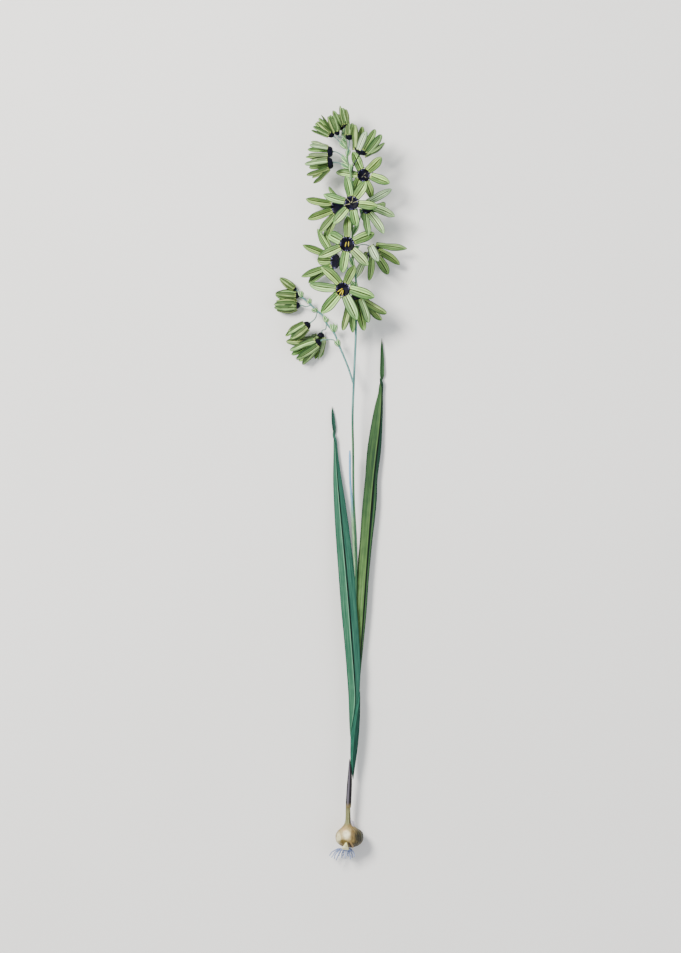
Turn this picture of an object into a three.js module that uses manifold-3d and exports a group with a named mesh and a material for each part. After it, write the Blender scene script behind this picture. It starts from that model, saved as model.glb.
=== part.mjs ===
import * as THREE from "three";
import { mergeVertices } from "three/addons/utils/BufferGeometryUtils.js";
import Module from "manifold-3d";

// An ixia lifted with its corm and roots and laid on its side on a level surface.
// +Y runs from the roots to the top of the flower spike and +Z up from the surface, in millimetres.
// A place is [px, py, height]: two pixels of the upright picture and the height above the surface.
const mmPerPixel = 0.65;
const middlePixel = [340.85, 483.76];

// Clear space that neighbouring pieces keep.
const seatGap = 0.3;
// Corners nearer than this are one corner.
const weldDistance = 1e-3;

const stemRadius = 0.65;
const branchRadius = 0.45;
const tubeRadius = 0.4;

const cupRadius = 3.1;
const cupDepth = 1.7;
const tepalRing = 2.3;
const tepalHalfWidth = 2.6;
const tepalHalfThickness = 0.42;
const tepalBow = 0.1;

const bractRadius = 0.85;
// A piece that leaves its stem at a finer slant than this starts no further along it.
const leastSlant = 0.55;
const antherRadius = 0.5;
const antherLength = 3.6;
const leafHalfThickness = 0.5;
const stemLeafHalfWidth = 0.85;
const stemLeafHalfThickness = 0.35;
const rootRadius = 0.3;

const cormRadius = 9;
const cormMiddle = [349.5, 837.1, cormRadius];
const cormLean = THREE.MathUtils.degToRad(1.9);
// Radius and height above the widest ring, from the flat base to the end of the neck.
const cormProfile = [
  [0, -7.1], [2.5, -6.9], [5.8, -5.8], [8.2, -3.6], [cormRadius, -0.2], [8.4, 2.6],
  [6.2, 5.2], [2.9, 6.6], [1.9, 9.2], [1.7, 13], [1.6, 18.2], [0, 18.2],
];

const mainStem = route([
  [344.3, 134, 20], [345.5, 140, 20], [347, 150, 20.2], [347.8, 163, 20.8], [350, 170, 21.2],
  [352, 185, 20.8], [352.5, 205, 20.2], [352.3, 230, 20], [353.5, 260, 20], [355.8, 280, 19.7],
  [356, 300, 19], [355.9, 330, 17.5], [353.7, 384.2, 14.5], [352.6, 416.8, 13],
  [353.1, 449.3, 12], [353.7, 499.2, 10.8], [356, 543.8, 9.4], [355.9, 575, 8.5],
  [355.4, 605, 7.9], [354.8, 640, 7.7], [354, 690, 7.7], [352.5, 740, 7.7], [350.8, 774, 7.7],
]);
const sideBranch = route([
  [302.4, 297, 6.6], [311, 304.5, 6.6], [317.5, 311, 6.8], [322, 314.5, 7], [326.5, 323, 7.6],
  [334.5, 332.5, 8.6], [340.6, 347.4, 10], [347.7, 366, 12], [353.7, 384.2, 14.5],
]);
const bladeOnStem = route([
  [349.9, 450.4, 13], [350.2, 480, 12.4], [351.5, 500, 12.2], [353.1, 530, 11.2],
  [354.3, 556.5, 10.5], [355.3, 578, 9.9],
]);

// Leaf outlines from the tip down: [py, left px, right px, height].
const leftLeafRows = [
  [405.9, 332, 332, 1.4], [421, 331.6, 335, 1.8], [435.2, 333.9, 335.6, 2.2], [457, 333.3, 338.5, 3],
  [480, 333, 341.9, 4], [499.2, 333.6, 345, 5], [531, 335.3, 349.5, 6.6], [569, 338, 354, 8.3],
  [607.6, 340.9, 356.6, 9.3], [640, 344, 358.4, 9.4], [676, 347, 360.4, 9.5], [702, 348.6, 360.5, 9.5],
  [737, 350, 358.4, 9.4], [765, 350.8, 354.9, 9.2], [780.7, 353.1, 353.1, 9.2],
];
const rightLeafRows = [
  [337.6, 382.6, 382.6, 1.4], [357, 381, 385, 1.7], [378.8, 381.3, 383, 2.1], [392, 378.3, 383.2, 2.5],
  [405.9, 374.8, 383.1, 2.9], [427, 370.6, 382.5, 3.4], [449, 367.2, 381.3, 4], [480, 364.8, 377.6, 4.8],
  [499, 362.9, 377, 5.2], [541, 359.7, 372.5, 5.9], [582, 356.6, 368.7, 6.2], [605, 355.9, 367.2, 6.2],
  [630, 356, 365, 6.1], [672.6, 355.5, 360.8, 6.1], [720, 352.3, 356.5, 6.1], [765, 350.4, 352, 6.1],
  [774, 351, 351, 6.2],
];
// Sheath around the foot of the stem, from its tip down: [px, py, height, radius].
const sheathRows = [
  [349.4, 759.6, 10.9, 0], [349.7, 766, 10.8, 0.7], [349.8, 774, 10.4, 1.25], [349.5, 783, 10, 1.6],
  [348.9, 795, 9.6, 1.7], [348.4, 808, 9.2, 1.65], [348.4, 808.2, 9.2, 0],
];

const rootPlate = { middle: [346.5, 850.6, 8.2], radius: 2.6, halfHeight: 1 };
const rootTips = [
  [329.4, 855.8, 6], [331.6, 858, 11], [333.8, 859.4, 3], [336.7, 860.7, 8.5], [338.9, 859, 13],
  [341.9, 858.5, 3.5], [345, 858.9, 11], [347.6, 857.6, 5], [350.8, 859.8, 8.5], [352.6, 858.5, 3],
  [355, 857.1, 10],
];
const shoot = { foot: [353.4, 825.9, 11.4], tip: [352.2, 818.6, 12], radius: 0.9 };

// Each bract pair stands on the stem at the height py of its node and ends at its tip.
const mainBracts = {
  bract_a: { node: 148.5, tip: [338.6, 141, 20.4] },
  bract_b: { node: 143, tip: [341.2, 137.4, 23] },
  bract_c: { node: 134, tip: [345.2, 127.9, 20.8] },
  bract_d: { node: 156, tip: [348.6, 149.2, 23.6] },
  bract_e: { node: 173, tip: [353.3, 167.6, 24.3] },
  bract_f: { node: 164.5, tip: [341.5, 157.2, 18.6] },
  bract_g: { node: 186, tip: [357.5, 180.7, 17.6] },
  bract_h: { node: 217, tip: [351.9, 210.5, 25] },
  bract_i: { node: 222, tip: [345.5, 215.8, 17.2] },
  bract_j: { node: 229, tip: [358.8, 222.3, 20.5] },
  bract_k: { node: 262, tip: [351.2, 255, 24.3] },
  bract_l: { node: 274, tip: [347.5, 268.5, 17.3] },
  bract_m: { node: 251, tip: [358.9, 245.6, 18.8] },
  bract_n: { node: 281, tip: [350.6, 277, 23.8] },
  bract_o: { node: 284, tip: [357.6, 289.6, 22.8] },
  bract_v: { node: 137, tip: [342, 131.2, 18] },
  bract_w: { node: 169, tip: [340.5, 164, 21.4] },
};
const sideBracts = {
  bract_q: { node: 297, tip: [301.4, 290.9, 8.6] },
  bract_r: { node: 304.6, tip: [308.2, 298.8, 8] },
  bract_s: { node: 311.3, tip: [312.9, 306.9, 9.6] },
  bract_u: { node: 323, tip: [325.8, 315.4, 10.4] },
  bract_x: { node: 332.4, tip: [334, 323.4, 11.4] },
  bract_t: { node: 347, tip: [335.2, 339.3, 13.6] },
};

// Open and half-open flowers: where the six tepals meet, the way the flower faces, and the tepal tips.
const flowers = {
  flower_a: {
    bract: "bract_a", heart: [330.6, 134.6, 20], facing: [-0.8, 0.6, 0],
    tips: [
      [311.9, 130.4, 20], [313.6, 127, 25], [315.6, 123.5, 15],
      [317.3, 123, 25.5], [319.1, 118.7, 15], [321.4, 115.5, 20],
    ],
  },
  flower_b: {
    bract: "bract_b", heart: [337, 132.4, 24.5], facing: [-0.4, 0.92, 0],
    tips: [
      [328, 117.8, 24.5], [330.5, 116.6, 28.5], [333, 117, 28.5],
      [329, 117.2, 20.5], [331.5, 116.8, 20], [335, 118, 24.5],
    ],
  },
  flower_c: {
    bract: "bract_c", heart: [346.5, 124, 21.5], facing: [-0.22, 0.97, 0.05],
    tips: [
      [340, 106.6, 22.4], [345.5, 109.8, 25.5], [342, 108.5, 25.5],
      [342.9, 108, 19], [346.5, 111.5, 18], [348, 113, 21.5],
    ],
  },
  flower_d: {
    bract: "bract_d", heart: [349.4, 138, 24], facing: [0.06, 1, 0],
    tips: [
      [347.6, 125.5, 24], [349.2, 124.1, 26.4], [352.6, 123.8, 26.4],
      [354, 125, 24], [350.8, 124.5, 22.4], [352.4, 124.8, 22.4],
    ],
  },
  flower_e: {
    bract: "bract_e", heart: [361, 153.3, 29], facing: [0.33, 0.86, 0.38],
    tips: [
      [355.2, 125.3, 29], [362.4, 127, 23], [366.1, 132.7, 37],
      [375.3, 129.9, 25], [381.9, 135.6, 34], [384.8, 143.6, 28],
    ],
  },
  flower_f: {
    bract: "bract_f", heart: [330.6, 152.2, 17], facing: [-1, 0, 0],
    tips: [
      [310.9, 141.7, 17], [309.5, 145.5, 22], [307.5, 149.2, 12.5],
      [308.1, 155, 20], [306, 156.1, 13], [309.5, 158.5, 16],
    ],
  },
  flower_g: {
    bract: "bract_g", heart: [364, 175.7, 23], facing: [0.25, 0.1, 0.96],
    tips: [
      [352.8, 152, 23], [335.8, 171.5, 7.5], [353.7, 191.9, 17],
      [373, 198, 19], [389.7, 183.1, 25], [381, 157, 27],
    ],
  },
  flower_h: {
    bract: "bract_h", heart: [351, 204.6, 32], facing: [0, 0, 1],
    tips: [
      [345.4, 176.5, 33], [365.3, 182.3, 33], [377.8, 207.4, 33],
      [356.1, 227.2, 30], [333.2, 224.6, 31], [323.3, 195.3, 32],
    ],
  },
  flower_i: {
    bract: "bract_i", heart: [335.3, 207.6, 13], facing: [-0.9, -0.2, 0.3],
    tips: [
      [305.7, 198.2, 12], [307.7, 219.2, 14], [317.9, 232.9, 10],
      [327.7, 236.8, 10], [328, 186, 8], [314, 204, 0.9],
    ],
  },
  flower_j: {
    bract: "bract_j", heart: [367.6, 211.2, 22], facing: [0.65, -0.45, 0.6],
    tips: [
      [391.8, 189.6, 20], [395, 217, 24], [385.8, 204.6, 9],
      [384.2, 234.2, 24], [368.2, 236.4, 27], [363, 218.3, 13],
    ],
  },
  flower_k: {
    bract: "bract_k", heart: [346.7, 244.9, 30], facing: [0, 0, 1],
    tips: [
      [347.5, 216.5, 25], [374.5, 233.7, 22], [367.6, 265.8, 30],
      [342.4, 273, 31], [319.4, 258.2, 31], [329.9, 234.7, 24],
    ],
  },
  flower_l: {
    bract: "bract_l", heart: [334.7, 260.2, 13], facing: [-0.9, 0, 0.3],
    tips: [
      [302.6, 244.9, 13], [318, 229, 2.5], [328, 229, 3.5],
      [317.1, 260.2, 1.2], [301.1, 277.6, 12], [308.2, 282.7, 5],
    ],
  },
  flower_m: {
    bract: "bract_m", heart: [371.8, 250, 14], facing: [0.6, -0.65, 0.45],
    tips: [
      [407.3, 248.3, 12], [399.4, 265.3, 8], [388.3, 274.8, 1.2],
      [378.5, 261.8, 26], [369.8, 280.3, 2.5], [356.1, 278.4, 1.2],
    ],
  },
  flower_n: {
    bract: "bract_n", heart: [342.6, 290.1, 31], facing: [0, 0, 1],
    tips: [
      [320.8, 267.8, 31], [309.3, 285, 30], [321.6, 313.1, 31],
      [357, 320.6, 31], [374.7, 297.6, 30], [354.9, 266, 29],
    ],
  },
  flower_o: {
    bract: "bract_o", heart: [355.5, 298, 24], facing: [0.2, -0.98, 0],
    tips: [
      [387.7, 313.7, 24], [383.1, 320.6, 20], [368.1, 322.3, 27],
      [364.7, 330.9, 20.5], [351.5, 332.1, 21.5], [342.3, 330.9, 24],
    ],
  },
  flower_v: {
    bract: "bract_v", heart: [341.7, 127.4, 16], facing: [-0.4, 0.92, 0],
    tips: [
      [333.1, 111.2, 16], [334.4, 112, 19.5], [336, 113.2, 12.5],
      [337.4, 114, 19], [338.2, 115.4, 12.5], [339, 117, 15],
    ],
  },
  flower_w: {
    bract: "bract_w", heart: [330.6, 164.4, 21], facing: [-0.96, -0.28, 0],
    tips: [
      [311.2, 161.6, 23.5], [304.9, 164.8, 25], [306.8, 175.7, 24.5],
      [313, 183.1, 21], [308, 169, 15.5], [312, 178, 16],
    ],
  },
  flower_r: {
    node: 305.2, heart: [298.2, 305.8, 5.2], facing: [-1, 0, 0],
    tips: [
      [276, 301.2, 5.2], [274.4, 304.8, 8.4], [274.6, 308.4, 8.4],
      [277.4, 312, 5.2], [275.4, 303.6, 2], [276.4, 309.6, 2],
    ],
  },
  flower_s: {
    node: 312.4, heart: [307.2, 324.4, 12.5], facing: [-0.86, -0.5, 0],
    tips: [
      [287, 331.2, 12.5], [287.6, 333.4, 16], [285.2, 335.8, 10],
      [291.1, 338.3, 16], [289.6, 337.6, 9.6], [293.4, 340, 12],
    ],
  },
  flower_t: {
    node: 344, heart: [317.2, 343, 9.5], facing: [-0.8, -0.6, 0],
    tips: [
      [286.7, 342.1, 7], [290.6, 350.9, 12.5], [292.1, 354.4, 5],
      [296.5, 360.3, 12.5], [298.6, 362, 5], [301.9, 365.7, 9],
    ],
  },
  flower_u: {
    node: 324.4, heart: [322, 334, 4], facing: [-0.25, -0.97, 0],
    tips: [
      [310.7, 336.7, 3.4], [312.2, 357.8, 3], [318.6, 359.8, 4.4],
      [320.8, 357.8, 2], [315.6, 359, 1.4], [323.8, 355.6, 3],
    ],
  },
};
const buds = {
  bud_p: { node: 297, heart: [294.2, 288.4, 4.2], tip: [280, 277.9, 4], radius: 2.4 },
  bud_q: { node: 298.5, heart: [296.4, 295.4, 3], tip: [274.9, 293.6, 2.9], radius: 2.6 },
};
const stamens = ["flower_g", "flower_h", "flower_k", "flower_m", "flower_n"];

const tepalPaint = { color: 0xc3cf8e, roughness: 0.55 };
const bractPaint = { color: 0xc9dcb4, roughness: 0.6 };
const stemPaint = { color: 0x6f9a86, roughness: 0.5 };
const leafPaint = { color: 0x5c8a55, roughness: 0.5 };
const sheathPaint = { color: 0x5d4a52, roughness: 0.7 };
const cormPaint = { color: 0xb59a68, roughness: 0.75 };
const rootPaint = { color: 0xc9cfe0, roughness: 0.7 };
const antherPaint = { color: 0xd9c84a, roughness: 0.7 };

const wasm = await Module();
wasm.setup();

function place([px, py, height]) {
  return new THREE.Vector3((px - middlePixel[0]) * mmPerPixel, (middlePixel[1] - py) * mmPerPixel, height);
}

function route(places) {
  return new THREE.CatmullRomCurve3(places.map(place));
}

// A closed body with pointed ends: the rings of a sphere are carried along a path. at(along) gives the
// middle of the ring, and how far and which way it reaches sideways and in depth.
function spindle(sides, rings, at) {
  const geometry = new THREE.SphereGeometry(1, sides, rings);
  const position = geometry.getAttribute("position");
  const unit = new THREE.Vector3();
  for (let i = 0; i < position.count; i++) {
    unit.fromBufferAttribute(position, i);
    const along = Math.acos(THREE.MathUtils.clamp(unit.y, -1, 1)) / Math.PI;
    const girth = Math.hypot(unit.x, unit.z) || 1;
    const { middle, side, depth } = at(along);
    const point = middle.clone();
    point.addScaledVector(side, unit.x / girth);
    point.addScaledVector(depth, unit.z / girth);
    position.setXYZ(i, point.x, point.y, point.z);
  }
  return geometry;
}

// A straight spindle of one radius, widest in its middle.
function drop(foot, tip, radius, sides = 6, rings = 4) {
  const axis = tip.clone().sub(foot);
  const upright = Math.abs(axis.z) > 0.8 * axis.length();
  const reference = upright ? new THREE.Vector3(1, 0, 0) : new THREE.Vector3(0, 0, 1);
  const side = reference.cross(axis).normalize();
  const depth = axis.clone().normalize().cross(side);
  return spindle(sides, rings, (along) => {
    const girth = radius * Math.sin(Math.PI * along);
    return {
      middle: foot.clone().lerp(tip, along),
      side: side.clone().multiplyScalar(girth),
      depth: depth.clone().multiplyScalar(girth),
    };
  });
}

// A round rod of one radius along a curve.
function rod(curve, radius, steps, sides) {
  const corners = Array.from({ length: sides }, (_, i) => {
    const turn = (2 * Math.PI * i) / sides;
    return new THREE.Vector2(radius * Math.cos(turn), radius * Math.sin(turn));
  });
  return new THREE.ExtrudeGeometry(new THREE.Shape(corners), { steps, extrudePath: curve });
}

function solid(geometry) {
  const bare = geometry.index ? geometry.toNonIndexed() : geometry.clone();
  bare.deleteAttribute("normal");
  bare.deleteAttribute("uv");
  const merged = mergeVertices(bare, weldDistance);
  return new wasm.Manifold(
    new wasm.Mesh({
      numProp: 3,
      vertProperties: merged.getAttribute("position").array,
      triVerts: new Uint32Array(merged.index.array),
    }),
  );
}

// One body out of several that run into each other.
function joined(geometries) {
  const mesh = geometries
    .map(solid)
    .reduce((whole, piece) => whole.add(piece))
    .getMesh();
  const geometry = new THREE.BufferGeometry();
  geometry.setAttribute("position", new THREE.BufferAttribute(mesh.vertProperties, 3));
  geometry.setIndex(new THREE.BufferAttribute(mesh.triVerts, 1));
  geometry.computeVertexNormals();
  return geometry;
}

// The point on a stem's axis at the picture height py, with the stem's direction there.
function nodeOn(axis, py) {
  const y = place([0, py, 0]).y;
  const samples = 600;
  const nearest = (best, at) =>
    Math.abs(axis.getPointAt(at).y - y) < Math.abs(axis.getPointAt(best).y - y) ? at : best;
  const at = Array.from({ length: samples + 1 }, (_, i) => i / samples).reduce(nearest, 0);
  return { point: axis.getPointAt(at), tangent: axis.getTangentAt(at) };
}

// Where something that grows from a stem starts, clear of the stem's surface by the seat gap.
function footOn(axis, py, toward, radius) {
  const { point, tangent } = nodeOn(axis, py);
  const leaning = toward.clone().sub(point).normalize();
  const slant = Math.max(leaning.clone().cross(tangent).length(), leastSlant);
  return point.addScaledVector(leaning, (radius + seatGap) / slant);
}

function tepal(heart, facing, tip) {
  const reach = tip.clone().sub(heart);
  const outward = reach.clone().addScaledVector(facing, -reach.dot(facing)).normalize();
  const foot = heart.clone().addScaledVector(outward, tepalRing);
  const bend = foot.clone().lerp(tip, 0.5).addScaledVector(facing, tepalBow * reach.length());
  const midrib = new THREE.QuadraticBezierCurve3(foot, bend, tip);
  const side = facing.clone().cross(outward);
  return spindle(4, 5, (along) => {
    const depth = midrib.getTangent(along).cross(side);
    return {
      middle: midrib.getPoint(along),
      side: side.clone().multiplyScalar(tepalHalfWidth * Math.sin(Math.PI * along ** 1.15)),
      depth: depth.setLength(tepalHalfThickness * Math.sin(Math.PI * along)),
    };
  });
}

function cup(heart, facing) {
  const turn = new THREE.Quaternion().setFromUnitVectors(new THREE.Vector3(0, 1, 0), facing);
  return new THREE.SphereGeometry(1, 6, 4)
    .scale(cupRadius, cupDepth, cupRadius)
    .applyQuaternion(turn)
    .translate(heart.x, heart.y, heart.z);
}

function tube(start, heart, facing) {
  const back = heart.clone().addScaledVector(facing, -0.4 * start.distanceTo(heart));
  return rod(new THREE.QuadraticBezierCurve3(start, back, heart), tubeRadius, 3, 5);
}

function tubeStart({ bract, node }, heart) {
  if (node) {
    return footOn(sideBranch, node, heart, branchRadius);
  }
  const tip = place(mainBracts[bract].tip);
  return tip.clone().add(heart.clone().sub(tip).setLength(seatGap));
}

function flower(shape) {
  const heart = place(shape.heart);
  const facing = new THREE.Vector3(...shape.facing).normalize();
  const tepals = shape.tips.map((tip) => tepal(heart, facing, place(tip)));
  const start = tubeStart(shape, heart.clone().addScaledVector(facing, -cupDepth));
  return joined([cup(heart, facing), tube(start, heart, facing), ...tepals]);
}

function bud(shape) {
  const heart = place(shape.heart);
  const tip = place(shape.tip);
  const facing = tip.clone().sub(heart).normalize();
  const start = tubeStart(shape, heart);
  const foot = heart.clone().addScaledVector(facing, -1);
  const inside = heart.clone().addScaledVector(facing, 1);
  return joined([drop(foot, tip, shape.radius, 8, 6), tube(start, inside, facing)]);
}

// Three anthers on one short column that stands clear of the cup.
function stamenGroup(shape) {
  const facing = new THREE.Vector3(...shape.facing).normalize();
  const foot = place(shape.heart).addScaledVector(facing, cupDepth + seatGap);
  const first = Math.abs(facing.x) < 0.9 ? new THREE.Vector3(1, 0, 0) : new THREE.Vector3(0, 1, 0);
  const spread = first.cross(facing).setLength(antherLength * 0.45);
  const anthers = [0, 1, 2].map((i) => {
    const lean = spread.clone().applyAxisAngle(facing, (2 * Math.PI * i) / 3);
    const tip = foot.clone().addScaledVector(facing, antherLength * 0.9).add(lean);
    return drop(foot.clone().addScaledVector(lean, -0.12), tip, antherRadius);
  });
  return joined(anthers);
}

function leaf(rows) {
  return spindle(4, rows.length - 1, (along) => {
    const [py, left, right, height] = rows[Math.round(along * (rows.length - 1))];
    const halfWidth = ((right - left) / 2) * mmPerPixel;
    return {
      middle: place([(left + right) / 2, py, height]),
      side: new THREE.Vector3(halfWidth, 0, 0),
      depth: new THREE.Vector3(0, 0, Math.min(halfWidth, leafHalfThickness)),
    };
  });
}

function sheath(rows) {
  return spindle(8, rows.length - 1, (along) => {
    const [px, py, height, radius] = rows[Math.round(along * (rows.length - 1))];
    return {
      middle: place([px, py, height]),
      side: new THREE.Vector3(radius, 0, 0),
      depth: new THREE.Vector3(0, 0, radius),
    };
  });
}

function stemBlade(curve) {
  return spindle(4, 8, (along) => {
    const swell = Math.sqrt(Math.max(Math.sin(Math.PI * along), 0));
    return {
      middle: curve.getPointAt(along),
      side: new THREE.Vector3(stemLeafHalfWidth * swell, 0, 0),
      depth: new THREE.Vector3(0, 0, stemLeafHalfThickness * swell),
    };
  });
}

function corm() {
  const outline = cormProfile.map(([radius, height]) => new THREE.Vector2(radius, height));
  const middle = place(cormMiddle);
  return new THREE.LatheGeometry(outline, 16).rotateZ(cormLean).translate(middle.x, middle.y, middle.z);
}

function roots() {
  const middle = place(rootPlate.middle);
  const plate = new THREE.SphereGeometry(1, 8, 4)
    .scale(rootPlate.radius, rootPlate.halfHeight, rootPlate.radius)
    .translate(middle.x, middle.y, middle.z);
  const threads = rootTips.map(place).map((tip) => {
    const spread = tip.clone().sub(middle);
    const start = middle.clone().add(new THREE.Vector3(0.16 * spread.x, -0.2, 0.2 * spread.z));
    const bend = start.clone().lerp(tip, 0.5).add(new THREE.Vector3(0.15 * spread.x, 0, 0.15 * spread.z));
    return rod(new THREE.QuadraticBezierCurve3(start, bend, tip), rootRadius, 3, 4);
  });
  return joined([plate, ...threads]);
}

const plant = new THREE.Group();
plant.name = "ixia";

function add(name, geometry, paint) {
  const mesh = new THREE.Mesh(geometry, new THREE.MeshStandardMaterial(paint));
  mesh.name = name;
  plant.add(mesh);
}

function addBracts(axis, radius, bracts) {
  for (const [name, shape] of Object.entries(bracts)) {
    const tip = place(shape.tip);
    add(name, drop(footOn(axis, shape.node, tip, radius), tip, bractRadius), bractPaint);
  }
}

add("corm", corm(), cormPaint);
add("roots", roots(), rootPaint);
add("shoot_bud", drop(place(shoot.foot), place(shoot.tip), shoot.radius), rootPaint);
add("sheath", sheath(sheathRows), sheathPaint);
add("stem", joined([rod(mainStem, stemRadius, 48, 6), rod(sideBranch, branchRadius, 18, 6)]), stemPaint);
add("stem_leaf", stemBlade(bladeOnStem), leafPaint);
add("leaf_left", leaf(leftLeafRows), leafPaint);
add("leaf_right", leaf(rightLeafRows), leafPaint);
for (const [name, shape] of Object.entries(flowers)) {
  add(name, flower(shape), tepalPaint);
}
for (const [name, shape] of Object.entries(buds)) {
  add(name, bud(shape), tepalPaint);
}
addBracts(mainStem, stemRadius, mainBracts);
addBracts(sideBranch, branchRadius, sideBracts);
for (const name of stamens) {
  add(name.replace("flower", "stamens"), stamenGroup(flowers[name]), antherPaint);
}

export default plant;
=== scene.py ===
import math

import bmesh
import bpy
import numpy as np
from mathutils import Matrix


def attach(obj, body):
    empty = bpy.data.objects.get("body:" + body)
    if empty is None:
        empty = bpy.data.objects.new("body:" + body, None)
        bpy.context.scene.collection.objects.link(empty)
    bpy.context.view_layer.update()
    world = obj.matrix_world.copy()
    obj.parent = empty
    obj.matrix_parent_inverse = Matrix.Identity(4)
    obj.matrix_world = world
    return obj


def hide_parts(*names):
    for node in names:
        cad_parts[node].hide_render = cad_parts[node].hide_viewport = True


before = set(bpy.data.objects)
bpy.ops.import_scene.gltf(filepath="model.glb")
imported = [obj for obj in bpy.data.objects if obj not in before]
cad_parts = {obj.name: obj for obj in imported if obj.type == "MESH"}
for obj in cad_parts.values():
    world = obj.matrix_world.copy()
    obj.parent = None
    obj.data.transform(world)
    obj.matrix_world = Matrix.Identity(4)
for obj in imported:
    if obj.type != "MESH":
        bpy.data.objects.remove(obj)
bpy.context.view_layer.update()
print("packed model loaded")

# Shapes are worked out in millimetres and put into the meshes in metres.
# A place is [px, py, height]: two pixels of the upright picture and the height above the floor.
page = {"mmPerPixel": 0.65, "middle": (340.85, 483.76), "metresPerMm": 0.001}
seeds = {"flowers": 11, "bracts": 5, "roots": 23}
# Three marks go with every patch for its finish to read: tone, the half of a tepal that takes painted shade,
# and extra
plainMark = (0.5, 0.5, 0.0)
# A tube's end point stands beyond its last ring by this share of the radius
roundEnd = 0.4
# Values between which veins, patches and ovals come in
softness = {"vein": (0.36, 0.64), "mottle": (0.4, 0.65), "oval": (1.0, 0.35)}
skyward = np.array([0, 0, 1.0])


def onPage(spots):
    # Pixels from the page's middle times their size, x to the right and y up; height stays as it is
    spots = np.asarray(spots, float)
    flat = (spots[..., :2] - page["middle"]) * page["mmPerPixel"] * (1, -1)
    return np.concatenate([flat, spots[..., 2:]], -1)


def unit(vectors):
    # Each vector divided by its length
    return vectors / np.linalg.norm(vectors, axis=-1, keepdims=True)


def heading(path):
    # Direction from point to point along a path
    return unit(np.gradient(path, axis=0))


def ease(t):
    # Smooth step: three times t squared less twice t cubed
    return t**2 * (3 - 2 * t)


def bell(value, middle, spread):
    # Bell curve: e to the minus square of the distance from the middle, counted in spreads
    return np.exp(-((value - middle) / spread) ** 2)


def ramp(t, steepness, least=0.0):
    # Rises evenly with t, steepness times as fast, from the least to 1
    return np.clip(t * steepness, least, 1)


def smoothPath(spots, count):
    # Cubic through the spots, spaced by the chords between them; a spot's slope comes from its neighbours
    spots = np.asarray(spots, float)
    knots = np.append(0, np.cumsum(np.linalg.norm(np.diff(spots, axis=0), axis=1)))
    slopes = np.gradient(spots, knots, axis=0)
    at = np.linspace(0, knots[-1], count)
    left = np.clip(np.searchsorted(knots, at, side="right") - 1, 0, len(knots) - 2)
    gap = (knots[left + 1] - knots[left])[:, None]
    t = (at - knots[left])[:, None] / gap
    value = spots[left] * (2 * t**3 - 3 * t**2 + 1) + spots[left + 1] * (3 * t**2 - 2 * t**3)
    return value + gap * (slopes[left] * (t**3 - 2 * t**2 + t) + slopes[left + 1] * (t**3 - t**2))


def bezier(start, bend, end, t):
    # Quadratic curve: start and end weighted by (1-t)^2 and t^2, the bend by 2t(1-t)
    t = t[:, None]
    return (1 - t) ** 2 * start + 2 * t * (1 - t) * bend + t**2 * end


def turns(sides):
    # Angles of a ring's corners, evenly round from 0
    return np.arange(sides) / sides * 2 * np.pi


def circle(side, depth, sides):
    # Cosine of each angle times one direction plus its sine times the other
    turn = turns(sides)[:, None]
    return np.cos(turn) * side + np.sin(turn) * depth


def columns(*values):
    # Arrays stretched to the shape they share and set side by side
    return np.stack(np.broadcast_arrays(*values), -1)


def wrap(rings, ends, around, finish=0, mark=plainMark):
    # Rings of corners joined into one closed skin: a band of four-sided faces from each ring to the next
    # and a fan of triangles to a point at each end. In the pattern u is around, and v runs evenly from 0
    # at the first ring to 1 at the last.
    count, sides = rings.shape[:2]
    total = count * sides
    here = np.arange(sides)
    after = (here + 1) % sides
    base = here + np.arange(count - 1)[:, None] * sides
    beside = base - here + after
    v = np.linspace(0, 1, count)[:, None]
    left, right = around[:-1], around[1:]
    middle = (left + right) / 2
    uv = (
        columns(left, v[:-1], right, v[:-1], right, v[1:], left, v[1:]),
        columns(middle, 0, right, 0, left, 0),
        columns(middle, 1, left, 1, right, 1),
    )
    return {
        "points": np.concatenate([rings.reshape(-1, 3), np.stack(ends)]),
        "faces": [
            columns(base, beside, beside + sides, base + sides).reshape(-1, 4),
            columns(total, after, here),
            columns(total + 1, total - sides + here, total - sides + after),
        ],
        "uv": np.concatenate([block.ravel() for block in uv]),
        "finish": np.tile(np.broadcast_to(finish, sides), count + 1),
        "mark": np.tile(mark, (total + 2, 1)),
    }


def rod(path, radius, sides=10, finish=0, mark=plainMark):
    # Round tube: a circle of the given radius carried along the path, with rounded ends. The circle starts
    # from the direction square to the path and to the axis that it runs along least.
    run = heading(path)
    side = unit(np.cross(np.eye(3)[np.argmin(np.abs(path[-1] - path[0]))], run))
    radius = np.broadcast_to(radius, len(path))
    ring = circle(side[:, None], np.cross(run, side)[:, None], sides)
    rings = path[:, None] + radius[:, None, None] * ring
    beyond = (run * radius[:, None] * roundEnd)[[0, -1]]
    ends = (path[0] - beyond[0], path[-1] + beyond[1])
    return wrap(rings, ends, np.arange(sides + 1) / sides, finish, mark)


def blade(midrib, side, face, halfWidth, halfThick, lift, sides=20, finish=(0, 0), mark=plainMark):
    # Thin blade with a closed edge: across = cos(turn) runs from edge to edge, the front is lift(across)
    # plus half the thickness times sin(turn), the back the same minus it. halfWidth is (left, right), and
    # finish is (front, back).
    turn = turns(sides)
    across = np.cos(turn)
    reach = np.where(across < 0, halfWidth[0][:, None], halfWidth[1][:, None]) * across
    height = lift(across[None, :]) + halfThick[:, None] * np.sin(turn)
    points = midrib[:, None] + side[:, None] * reach[..., None] + face[:, None] * height[..., None]
    u = (across + 1) / 2
    front = np.sin(turn + np.pi / sides) > 0
    return wrap(points[:-1], (midrib[0], midrib[-1]), np.append(u, u[0]), np.where(front, *finish), mark)


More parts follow.
